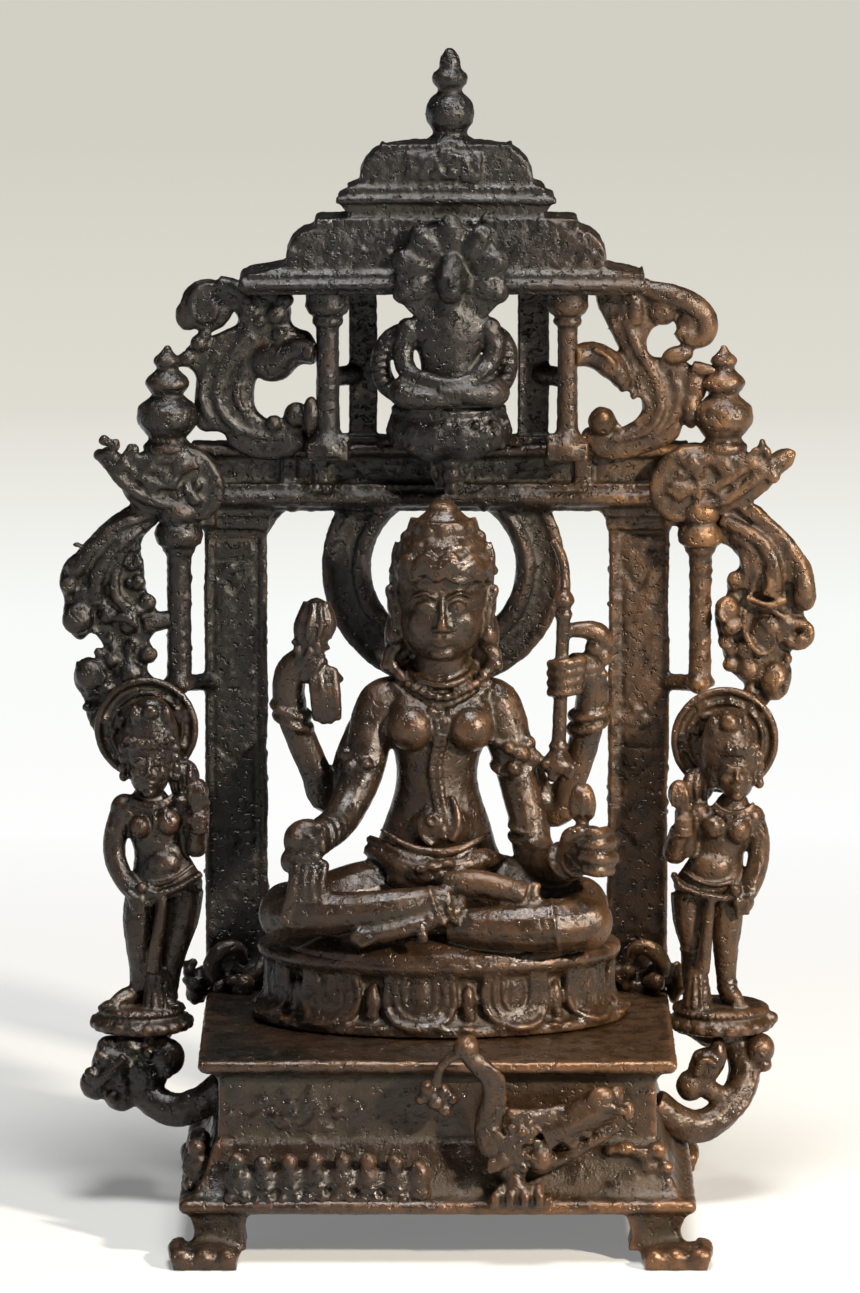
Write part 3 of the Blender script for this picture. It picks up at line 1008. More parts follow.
    strand([(-95.4, 12.6, 30.6), (-90.6, 9.4, 36.6), (-85.4, 9.6, 41.6)], [1.4, 1.7, 1.2])
    for x, y in ((77.9, 22), (-81.2, 22)):
        turned([[5, 42], [8.4, 44.6], [9, 46.9]], x, y, steps=20)
    # leafy lumps on the plate, at the rear corners of the seat
    for side in (-1, 1):
        for k in range(9):
            ball(side * chance.uniform(53, 61), chance.uniform(30, 41), chance.uniform(54.4, 58),
                 (chance.uniform(1.6, 3), chance.uniform(1.6, 2.6), chance.uniform(1.6, 3)))
    piece = castPiece("plinthFigures", 0.56, pitted=0.4, keep=90000)
    handOver(piece, "plinth", wornBronze)


plinthBody()
plinthFigures()
print("plinth ready")

# Frame: pilasters, beam, halo, outer columns

frameFacts = {
    "pilasters": [(-64.1, -46.9), (47.1, 63.6)], "front": 43.5, "back": 48.5, "top": 187.5,
    "beam": {"left": -67.6, "right": 69, "bottom": 187.5, "front": 37, "back": 48.8},
    "halo": {"x": 1.7, "z": 171.3, "outer": 33.4, "inner": 19.9, "front": 43.6, "back": 48},
    "sideDepth": 36.5,
}
rightCuts = [[[49.6, 186.4], [62, 186.2]], [[50.4, 181.3], [62, 181.3]], [[50.4, 176.8], [61.8, 176.8]],
             [[49.3, 176.3], [54.7, 165.1], [61.8, 176.8]], [[50.6, 176], [50.8, 150], [50.6, 90]],
             [[62.4, 181], [62.7, 127.7]], [[50.8, 130.9], [55.4, 134.1], [60.3, 128]],
             [[50.4, 126.6], [61.2, 126.6]], [[50.4, 121.5], [61.3, 121.5]],
             [[49.1, 117.4], [54.8, 113.4], [61, 119]],
             [[50.6, 98], [56, 92], [61, 98]],] + [[[51 + 1.15 * k, 186], [51 + 1.15 * k, 182]]
                                                   for k in range(10)]
leftCuts = [[[-63.4, 179.3], [-49.4, 179.3]], [[-62.5, 173.5], [-50, 173.5]],
            [[-63, 172.1], [-55.6, 164.7], [-50, 172]], [[-60.5, 121.6], [-55.4, 116.5], [-50.4, 121]],
            [[-49.8, 179], [-49.9, 130], [-49.8, 84]], [[-62, 179], [-62.2, 130], [-62, 84]],
            [[-61, 98], [-56, 92], [-51, 98]],]


def cutsOnFront(cuts, y):
    return [[(x, y, z) for x, z in line] for line in cuts]


def makeFrameBase():
    front, back, top = frameFacts["front"], frameFacts["back"], frameFacts["top"]
    for x0, x1 in frameFacts["pilasters"]:
        block(x0 + 0.4, x1 - 0.4, front, back, 54, top + 1)
        for x in (x0 + 1, x1 - 1):  # rolled side edges
            strand([(x, front + 0.6, 54)] + [(x + chance.uniform(-0.3, 0.3), front + 0.6, 54 + 13.4 * k)
                                             for k in range(1, 10)] + [(x, front + 0.6, top)], 1.25)
            for k in range(26):
                place = x + chance.choice((-1, 1)) * 0.7, chance.uniform(front, back), chance.uniform(56, 184)
                ball(*place, chance.uniform(0.6, 1.1), fine=5)
        lumps(50, [x0 + 3, x1 - 3], front, [60, 178], ([0.7, 1.8], 0.5, [0.7, 2]), 5)
        block(x0 - 0.8, x1 + 0.8, front - 1.4, back, 182.4, top + 1)
        block(x0 - 1.6, x1 + 1.6, front - 2.4, back, 186, top + 2)
    beam = frameFacts["beam"]
    b, f, bk = beam["bottom"], beam["front"], beam["back"]
    moulding([[bk, b], [bk, b + 19], [f + 2.4, b + 19], [f + 1, b + 17.4], [f + 2.4, b + 15.4],
              [f + 4, b + 15.2], [f + 4, b + 8.6], [f + 1.8, b + 8.2], [f + 1.8, b + 6.4],
              [f + 0.6, b + 5.6], [f + 0.3, b + 3.6], [f + 1.4, b + 1.8], [f + 4, b + 1.2], [f + 4.6, b]],
             beam["left"], beam["right"])
    for z, r in ((b + 17.4, 1.75), (b + 4.2, 2.1)):  # rolls of the beam, a little uneven
        points = [(beam["left"] + 17 * k, f + 1.9 + chance.uniform(-0.3, 0.3),
                   z + chance.uniform(-0.35, 0.35)) for k in range(9)]
        roll(points, r)
    beads([(beam["left"] + 2, f + 1.7, b + 7.7), (0, f + 1.7, b + 7.6),
           (beam["right"] - 2, f + 1.7, b + 7.8)], 0.78, 1.7)
    for x0, x1, proud in ((37.6, 42.4, 1.2), (65.2, 68.4, 2.2), (-43, -38.6, 0.8), (-66.6, -63.6, 1.4),
                          (44.6, 60, -0.2), (-34, -30, 0.6), (-61, -46, -0.2)):
        block(x0, x1, f + 3.2 - proud, f + 6, b + 8.2, b + 15.6)
    for k in range(70):  # rough ground of the sunk panels
        ball(chance.uniform(-64, 66), f + 4.2, b + chance.uniform(9, 15),
             (chance.uniform(0.8, 2.4), 0.7, chance.uniform(0.6, 1.6)), fine=5)
    lumps(30, [-46, 46], [40, 47], b + 0.6, ([1, 2.6], 2, [0.6, 1.4]), 6)  # drips below the beam
    for x0, z0, x1, z1 in ((-47.4, 181.6, -42, 188.6), (48, 184, 44.4, 188.6)):  # webs in the upper corners
        strand([(x0, 45.6, z0), ((x0 + x1) / 2, 45.6, (z0 + z1) / 2 + 1.6), (x1, 45.6, z1)], [1.4, 2, 1.6])
    # halo: a flat ring with a raised roll inside and a thin edge outside
    halo = frameFacts["halo"]
    turnedRing(halo)
    block(halo["x"] - 12, halo["x"] + 12, halo["front"], halo["back"], halo["z"] + 25, 204)
    for side in (-1, 1):  # outer columns with their capitals and feet
        x = -70.8 if side < 0 else 72.1
        r = 3.5 if side < 0 else 3.2
        y = frameFacts["sideDepth"]
        turned([[r + 0.8, 139.6], [r + 1.4, 141], [r, 142.6], [r - 0.1, 160], [r, 176.2], [r + 1.2, 177.4],
                [r + 1, 178.6], [r + 2.8, 179.6], [r + 3.4, 182], [r + 2.6, 184.6], [r + 1, 185.2],
                [r + 2.4, 186.2], [r + 3, 188.4], [r + 2.2, 190.8], [r + 0.6, 191.6], [r + 1.6, 193],
                [r + 1, 195]], x, y, steps=24)
        ball(x - side * 0.4, y - 2.6, 140.6, 2.8)
        strand([(x, y, 140.6), (x - side * 5, y + 5, 140), (x - side * 9.4, 45.5, 139.4)], [2.6, 2.4, 2.6])
        block(min(x, x - side * 10), max(x, x - side * 10), 38, 46, 184, 189)
        for k in range(18):
            a = chance.uniform(0, 6.28)
            ball(x + (r - 0.2) * math.cos(a), y + (r - 0.2) * math.sin(a), chance.uniform(144, 176),
                 chance.uniform(0.5, 0.9), fine=5)
        # foliate knot at the foot of the pilaster
        foot = side * 57
        roll([(foot + side * 1, 40.6, 56.4), (foot + side * 5, 38, 59.4), (foot + side * 3.6, 37, 64.6),
              (foot - side * 1.6, 38, 66), (foot - side * 3.4, 39, 62.4)], [2.4, 2.8, 2.6, 2.2, 1.6])
        roll([(foot - side * 2, 40, 56), (foot - side * 7, 39, 58.6), (foot - side * 9, 40.4, 62.6)],
             [2.4, 2.2, 1.4])
        for k in range(6):
            ball(foot + side * chance.uniform(-7, 7), chance.uniform(38, 42), chance.uniform(55, 60),
                 chance.uniform(1.6, 2.8))
        low = 50 if side < 0 else 52
        strand([(side * 60, 42, 57), (side * 65.6, 42, 57), (side * 66.8, 42, 52), (side * 67, 42, low)],
               [2.6, 3, 3.2, 2.6])
        for k in range(10):
            ball(side * chance.uniform(66, 70), chance.uniform(38.6, 41), chance.uniform(low, 62),
                 chance.uniform(1.2, 2.4))
    piece = castPiece("frameBase", 0.66, pitted=0.55, pitSize=2, keep=118000)
    engrave(piece, cutsOnFront(rightCuts, front), 1.0, 0.7)
    engrave(piece, cutsOnFront(leftCuts, front), 1.0, 0.6)
    handOver(piece, "back_frame", blackBronze)


# A ring turned about a level axis that runs from front to back
def turnedRing(halo):
    inner, outer, front, back = halo["inner"], halo["outer"], halo["front"], halo["back"]
    section = [[inner, back], [outer, back], [outer + 0.2, front + 0.6], [outer - 1, front - 0.4],
               [outer - 2.6, front - 0.2], [outer - 3.2, front + 0.5], [inner + 5.6, front + 0.5],
               [inner + 4.8, front - 0.9], [inner + 3, front - 1.9], [inner + 1.2, front - 1],
               [inner, front + 0.6]]
    x, z = halo["x"], halo["z"]
    spun([(x + r, y, z) for r, y in section], True, (x, 0, z), (0, 1, 0), 72)


makeFrameBase()
print("frame base ready")

# Corner ends of the beam, their finials and the hanging leaves
leafFacts = {"rightOutline": [[80, 190], [87.6, 190], [92.6, 184.6], [98, 179], [102.2, 174], [103.6, 168],
                              [103.6, 163], [100.6, 161.4], [102.8, 155], [100.4, 150.4], [97.2, 149.6],
                              [97.4, 142], [94.4, 136.6], [90.4, 136.2], [85.4, 139.6], [81, 143.6],
                              [79.2, 146.4], [78, 151], [76.6, 156], [76.2, 161], [79.4, 165.6],
                              [79.6, 169.6], [83, 173.6], [80.6, 178], [75, 181.6]],
             "leftOutline": [[-75, 190], [-83.4, 190.2], [-87.5, 187.9], [-92.5, 184], [-96.3, 179.9],
                             [-99.4, 176.6], [-102.4, 173.6], [-103.6, 168], [-102.4, 164], [-102.6, 159.6],
                             [-100.6, 154.6], [-98, 152.6], [-94.6, 154.6], [-92.7, 152.8], [-91.4, 149.4],
                             [-92.8, 147.6], [-96.8, 147.6], [-99.4, 145], [-99.8, 141], [-97.1, 136],
                             [-96.4, 131.5], [-93.6, 126], [-88, 118.6], [-82, 120], [-79, 131],
                             [-74.4, 140], [-78.4, 142.4], [-79.6, 145.4], [-77, 148.4], [-79, 152],
                             [-76.8, 156], [-77.2, 161.4], [-79.8, 166.4], [-80.4, 173.4], [-81.4, 179]],
             "front": 34.6, "back": 39.6,}


def hangingLeaves():
    y = frameFacts["sideDepth"] - 2.6
    plate(leafFacts["rightOutline"], leafFacts["front"], leafFacts["back"], 1.2)
    plate(leafFacts["leftOutline"], leafFacts["front"], leafFacts["back"], 1.2)
    # right: three long blades swept outwards, the outermost with a thick slotted tip
    strand([(85.6, y, 190), (91.6, y, 184.6), (96.6, y - 0.4, 178.8), (99.6, y - 0.8, 173),
            (100.6, y - 1, 168.2), (100.6, y - 0.8, 164.6)], [1.4, 1.7, 2.1, 2.6, 3.1, 3.1])
    ball(100.6, y - 0.8, 164.4, (3.1, 3.1, 3.2), fine=12)
    strand([(82.6, y, 189.8), (89.6, y - 0.4, 184.4), (94, y - 0.7, 180), (96.4, y - 0.8, 174.7),
            (96.6, y - 0.6, 169)], [1, 1.2, 1.3, 1.3, 1])
    strand([(77.6, y + 0.4, 186.6), (82, y - 0.6, 184.4), (87.8, y - 1, 181), (91.4, y - 1.2, 175.6),
            (92, y - 1.2, 170), (91.4, y - 1, 165.6)], [2, 2, 2.3, 2.7, 2.9, 2.9])
    strand([(80.6, y, 182.4), (84.6, y - 0.4, 179.6), (87.2, y - 0.6, 173.6), (86.2, y - 0.4, 166.6)],
           [1.2, 1.7, 1.7, 1.4])
    strand([(82.6, y, 178.6), (84.4, y - 0.3, 174.6), (84, y - 0.2, 167.4)], [1, 1.5, 1.1])
    strand([(89.6, y - 3.2, 172.4), (90.8, y - 3.6, 169.2), (89.4, y - 3.4, 166.4)], [0.4, 0.9, 0.5])
    ball(81.8, y + 1, 169.4, (2.7, 2.6, 2.9))
    strand([(84.6, y - 1.4, 165.2), (88, y - 2.4, 163.6), (91.6, y - 2.6, 163.2), (95.6, y - 1.6, 164.8)],
           1.15)
    # heart-shaped leaf under the collar
    strand([(84.4, y - 1.4, 161), (84, y - 1.6, 157), (85.6, y - 1.8, 152.6), (88.8, y - 1.6, 149.2)],
           [0.8, 1.1, 1.1, 0.9])
    strand([(88, y - 1, 161.4), (92.6, y - 1.6, 161), (95.4, y - 1.4, 158), (92.6, y - 1.2, 152),
            (89.4, y - 1.2, 148.8)], [0.6, 0.8, 0.9, 0.8, 0.6])
    ball(90.2, y + 0.6, 155.6, (4.4, 2.4, 5.4))
    for k in range(3):
        strand([(87.4 + 1.9 * k, y - 1.6, 159.6), (90.4 + 1.2 * k, y - 1.9, 156.6),
                (91.6 + 0.4 * k, y - 1.6, 153.6)], [0.3, 0.6, 0.3])
    ring(99, y - 0.6, 154.8, 3.1, 1.65, (90, 0, 0))
    ball(99.8, y - 1.4, 153.6, 1.5)
    ball(95.8, y + 0.2, 158, (2.8, 2.8, 3))
    ball(79.4, y - 0.2, 161.6, (3.5, 3.2, 3.9), fine=12)
    ball(80.4, y - 0.6, 157, (2.9, 2.8, 2.8))
    strand([(77.6, y - 3, 163.4), (77.4, y - 3.4, 160.6), (79, y - 3.6, 158.6)], [0.5, 0.8, 0.5])
    for x, z, r in ((78.6, 152.4, 1.9), (80.2, 146.2, 2.2), (82.4, 144.6, 1.6), (84, 150, 3),
                    (85.6, 144.6, 3.6), (80.6, 150, 2)):
        ball(x, y + 0.4, z, (r, r, r))
    ball(92.8, y - 0.8, 141.6, (4.2, 3.9, 5.4), (0, 6, 0), fine=14)
    ball(96, y + 0.8, 147.6, (1.4, 2, 1.8))
    strand([(84.6, y + 1.4, 140), (88.4, y + 0.6, 137), (91, y + 0.4, 135.6)], [2, 2, 1.4])
    # left: one broad fan, dark and lumpy, with a curl inside it
    strand([(-78, y + 1, 188), (-87, y, 184.6), (-94, y, 178.6), (-98, y, 173.6)], [1.6, 2.2, 2.4, 2.4])
    strand([(-80.6, y + 0.6, 184), (-86.6, y - 0.4, 180), (-92.6, y - 0.4, 172), (-93.6, y, 163)],
           [1.4, 2.4, 2.6, 2])
    strand([(-83, y, 181), (-86.6, y - 0.6, 176), (-88.2, y - 1.2, 170.8), (-87.7, y - 1.4, 165.4),
            (-84.4, y - 1.2, 162.1), (-80.6, y - 0.4, 161)], [1, 1.4, 1.5, 1.6, 1.6, 1.4])
    for x, z, r in ((-98.8, 173, 3), (-101, 168.2, 2.7), (-81.9, 174.6, 1.8), (-81.8, 169, 2.2),
                    (-79.4, 163.4, 2.6), (-82.4, 178.6, 1.6), (-97, 166, 2.2), (-90.4, 160, 2.6),
                    (-84.6, 157, 2.6), (-84.4, 151.2, 1.8), (-79.2, 148.9, 2.6), (-83.9, 143.6, 3.7),
                    (-89.4, 147.6, 2.4), (-89.8, 133.6, 3), (-93.4, 130.4, 2.4), (-86.6, 127, 3),
                    (-83, 134, 3.4), (-90.6, 139, 2.2)):
        ball(x, y + 0.4, z, (r, r * 0.95, r))
    ball(-98.6, y + 0.2, 159, (4.4, 3.4, 4.6), (0, 20, 0), fine=12)
    ball(-95, y, 143.4, (4.5, 3.4, 4.4), fine=12)
    strand([(-92.4, y - 3, 145.8), (-91.4, y - 3.2, 143.4), (-92.4, y - 3, 140.6)], [0.5, 0.9, 0.5])
    strand([(-88.6, y - 1, 159.6), (-84.6, y - 2, 159.4), (-81.6, y - 2, 156.8)], [1, 1.6, 0.8])
    strand([(-80.6, y + 2, 157.1), (-72, y + 2.6, 158.6)], [3, 2.6])
    lumps(60, [-99, -82], y + 0.6, [133, 184], ([0.7, 1.7], 1.6, [0.7, 1.7]), 6)
    # corner ends: upswept leaf with rolled strands
    plate([[60, 188.6], [63, 204.6], [84, 204.6], [90, 203.4], [95.6, 205.4], [97.8, 204], [93.6, 198.4],
           [87.6, 192.4], [79, 188.4]], 32.4, 42, 1.4)
    plate([[-60, 188.6], [-63, 204.6], [-80, 204.8], [-85, 203.2], [-90.6, 205.8], [-92.6, 204],
           [-87.6, 197], [-83, 190], [-76, 187.6]], 32.4, 42, 1.4)
    for side, tip in ((1, 95), (-1, -91)):
        x0 = side * 70
        strand([(x0, 32.6, 190), (side * 79, 32, 192.4), (side * 87, 32, 198), (tip, 33.4, 203.8)],
               [1.6, 1.7, 1.6, 1.4])
        strand([(x0, 32.6, 195.4), (side * 78, 31.4, 197), (side * 84, 31.8, 200.8),
                (tip - side * 4, 33, 203.8)], [1, 1.2, 1.2, 1])
        strand([(side * 66, 32.8, 203), (side * 76, 32, 203.4), (side * 85, 32.6, 203.2)], [1.6, 1.8, 1.2])
        ball(tip + side, 34.6, 204.2, (2.2, 2.4, 1.8))
        for k in range(30):
            x = chance.uniform(64, 92)
            ball(side * x, 32.2, 190 + 0.3 * (x - 64) + chance.uniform(0, 11),
                 (chance.uniform(1, 2.6), 1.6, chance.uniform(1, 2.2)), fine=6)
        for x, z, size in ((70, 202, 3.4), (78.4, 201.4, 3), (86, 202, 2.6)):
            ball(side * x, 32.6, z, (size, 2.6, size), fine=12)
        x, r = (78.2, 8.3) if side > 0 else (-73.7, 8.6)
        at = [[0.78, 0], [0.8, 0.05], [0.56, 0.12], [0.72, 0.16], [0.98, 0.26], [1, 0.33], [0.94, 0.42],
              [0.6, 0.5], [0.46, 0.53], [0.6, 0.57], [0.74, 0.63], [0.66, 0.69], [0.38, 0.76], [0.34, 0.79],
              [0.48, 0.84], [0.4, 0.89], [0.2, 0.93], [0.1, 1]]
        turned([[r * a, 205.2 + 29.1 * b] for a, b in at], x, 36.5, steps=28)
    piece = castPiece("hangingLeaves", 0.6, pitted=0.5, pitSize=2, keep=88000)
    slots = [[(103.4, y - 2.6, 168.4), (103.6, y - 2.4, 165)], [(94.4, y - 4, 140.4), (94.6, y - 4, 137.6)],
             [(85.6, y - 3, 163.4), (91, y - 4, 161.4), (95.6, y - 3, 163)]]
    engrave(piece, slots, 1.3, 1.3)
    handOver(piece, "back_frame", blackBronze)


# Sea-beasts in the angles, the pavilion, the saint in it and the roof
beastFacts = {"right": [[40, 206], [62, 206], [67, 210.8], [66.4, 215.2], [70.6, 218], [70.8, 226.6],
                        [67.6, 229.4], [60.7, 230.4], [58.4, 231], [57.2, 234.5], [58.6, 238.2],
                        [62, 240.6], [66, 246.6], [61.4, 250], [56, 251.4], [52, 254], [44, 252],
                        [43.4, 245.8], [45.4, 241.4], [48, 236.2], [51.6, 228], [53.7, 222.5],
                        [55.8, 218.4], [55.7, 215.4], [52.8, 212.4], [47, 210.6], [40.6, 211]],
              "left": [[-36, 206], [-57, 206], [-58.2, 209.4], [-65.4, 211], [-66.4, 219], [-66.2, 225.8],
                       [-69.6, 230], [-66.8, 234.6], [-61, 236.6], [-58, 238], [-54.6, 240], [-56, 246],
                       [-53, 252.6], [-44.4, 252], [-40, 244.8], [-39.5, 239.6], [-34.4, 236.8],
                       [-33.4, 229], [-37, 228.7], [-42.4, 224.4], [-48, 226], [-50, 220.3], [-49.6, 216.6],
                       [-46.4, 213.6], [-37, 212.4]],}


def makeBeasts():
    plate(beastFacts["right"], 35.8, 42.4, 1.8)
    plate(beastFacts["left"], 35.8, 42.4, 1.8)
    y = 36.6
    # right: body ridges rising from the beam, curled crest, fin and scale lumps
    strand([(43, y, 208), (52, y - 0.4, 209), (59, y - 0.8, 212.6), (61, y - 0.2, 219),
            (58.6, y - 0.2, 227), (53.4, y - 0.2, 236), (50.6, y, 246)], [1.2, 1.4, 1.7, 2, 2, 2, 1.6])
    strand([(58, y, 208.6), (63.6, y - 0.4, 213), (66, y - 0.2, 219.6), (64, y - 0.2, 226.6)],
           [1.1, 1.2, 1.3, 1.2])
    strand([(54, y - 0.2, 240), (53.6, y - 0.6, 246), (50, y - 0.2, 250)], [2.4, 2.4, 1.8])
    strand([(52, y, 252), (58, y - 0.4, 249.2), (64.6, y - 0.8, 247.6), (70.4, y - 0.8, 244.6),
            (73.4, y - 0.8, 240.4), (72.2, y - 0.8, 236.6), (68.4, y - 0.8, 236.4), (65.8, y - 1, 239)],
           [2.6, 3, 3.4, 3.6, 3.3, 3, 2.6, 2.2])
    ball(68.4, y - 0.4, 240.2, (3.6, 2.6, 3.4))
    ball(61.4, y, 243.6, (4.4, 3, 4))
    for k in range(6):  # ridges across the crest
        a = 0.3 + 0.42 * k
        strand([(66.4 + 4.6 * math.cos(a), y - 3, 240 + 4.6 * math.sin(a)),
                (66.4 + 8.6 * math.cos(a), y - 2, 240 + 8 * math.sin(a))], [0.5, 0.6])
    ball(65.6, y - 0.4, 231.6, (4.6, 3, 2.6), (0, -12, 0))
    ball(70.4, y + 0.6, 222.6, (3.4, 2.8, 4.6))
    strand([(69.6, y, 228), (74, y - 0.6, 227.4), (78, 37, 226.6)], [2.2, 1.8, 1.6])
    strand([(37, 33.4, 231.6), (42.4, y - 0.4, 231.6), (47, y - 0.6, 229), (50.4, y - 0.6, 224.6),
            (51.4, y - 0.4, 221.6)], [3, 3.8, 4, 2.8, 1.4])
    strand([(42.6, y - 4.4, 234), (47, y - 4.4, 231), (50, y - 3, 226)], [0.6, 0.9, 0.5])
    ball(69.4, 36.6, 216.4, (2.8, 3, 5.4))
    ball(45, y - 0.6, 213.4, (3.9, 3.6, 4), fine=12)
    ball(45.4, y - 3.6, 214.6, (1.8, 1.4, 1.8))
    strand([(54, y - 0.2, 212.6), (57.6, y - 0.2, 216), (56, y - 0.2, 221), (51.6, y, 233)], [0.9, 1, 1, 0.9])
    # left: spiral disc, knotted body and snout against the column
    ball(-62.8, y + 1.2, 245, (7.4, 3.6, 7.4), fine=16)
    strand([(-60, y, 251.4), (-54, y, 249), (-51, y, 243)], [2.4, 2.6, 2.4])
    spiral = [(-62.6 + (1.4 + 0.4 * k) * math.cos(0.9 - 0.52 * k), y - 1.8 + 0.08 * k,
               244.8 + (1.4 + 0.4 * k) * math.sin(0.9 - 0.52 * k)) for k in range(15)]
    strand(spiral, [1.2] * 13 + [1, 0.7])
    ball(-68, y + 0.6, 242.4, (3.6, 2.8, 4.4), fine=12)
    strand([(-40, y, 208.6), (-50, y - 0.4, 209.6), (-57.6, y - 0.8, 214), (-60.4, y - 0.2, 221),
            (-58, y - 0.2, 229), (-52.6, y - 0.2, 237), (-49, y, 247)], [1.1, 1.2, 1.3, 1.4, 1.4, 1.4, 1.2])
    strand([(-60, y, 211.6), (-63.8, y - 0.6, 217), (-64, y - 0.2, 224), (-61.6, y - 0.2, 230.6)],
           [1, 1.2, 1.2, 1])
    strand([(-51.6, y - 0.6, 214), (-54.6, y - 1.2, 219.6), (-53, y - 0.4, 227), (-47, y, 234.6)],
           [1, 1.1, 1.1, 1])
    ball(-45, y, 229.6, (6.4, 3.6, 5.6), fine=14)
    ball(-34.4, 34, 215, (2.6, 3, 5.6))
    strand([(-33.4, 33.6, 232.4), (-39, y - 1, 233), (-43.6, y - 1, 230), (-46.4, y - 0.6, 226.6)],
           [3, 3.4, 3.2, 2])
    for x, z, r in ((-44, 242.6, 3.2), (-41.6, 246.6, 2.6), (-43, 237.4, 2.6), (-48.6, 241, 2.4),
                    (-65, 234.6, 2.6), (-68.4, 230.4, 2.4), (-63.6, 237, 2), (-38.5, 215, 3.6),
                    (-44.6, 212.4, 2.6), (-53, 250, 2.4)):
        ball(x, y - 0.2, z, (r, r * 0.9, r))
    strand([(-68, y, 230.4), (-72, 36.8, 229.6)], [2, 1.8])
    for k in range(70):
        side = chance.choice((-1, 1))
        z = chance.uniform(209, 249)
        x = side * (56 if 214 < z < 232 else 50) + chance.uniform(-6, 6)
        ball(x, y - 0.2, z, (chance.uniform(0.6, 1.6), 1.3, chance.uniform(0.6, 1.6)), fine=6)
    piece = castPiece("seaBeasts", 0.56, pitted=0.45, pitSize=2, keep=60000)
    handOver(piece, "back_frame", blackBronze)


pavilion = {
    "floor": 206.5, "eave": 249,
    "columns": [(-29.9, 3.2), (35.5, 2.8)], "pilasters": [(-24.2, -16.6), (22, 30.4)],
    "saint": {"x": 3.2, "y": 26},
}


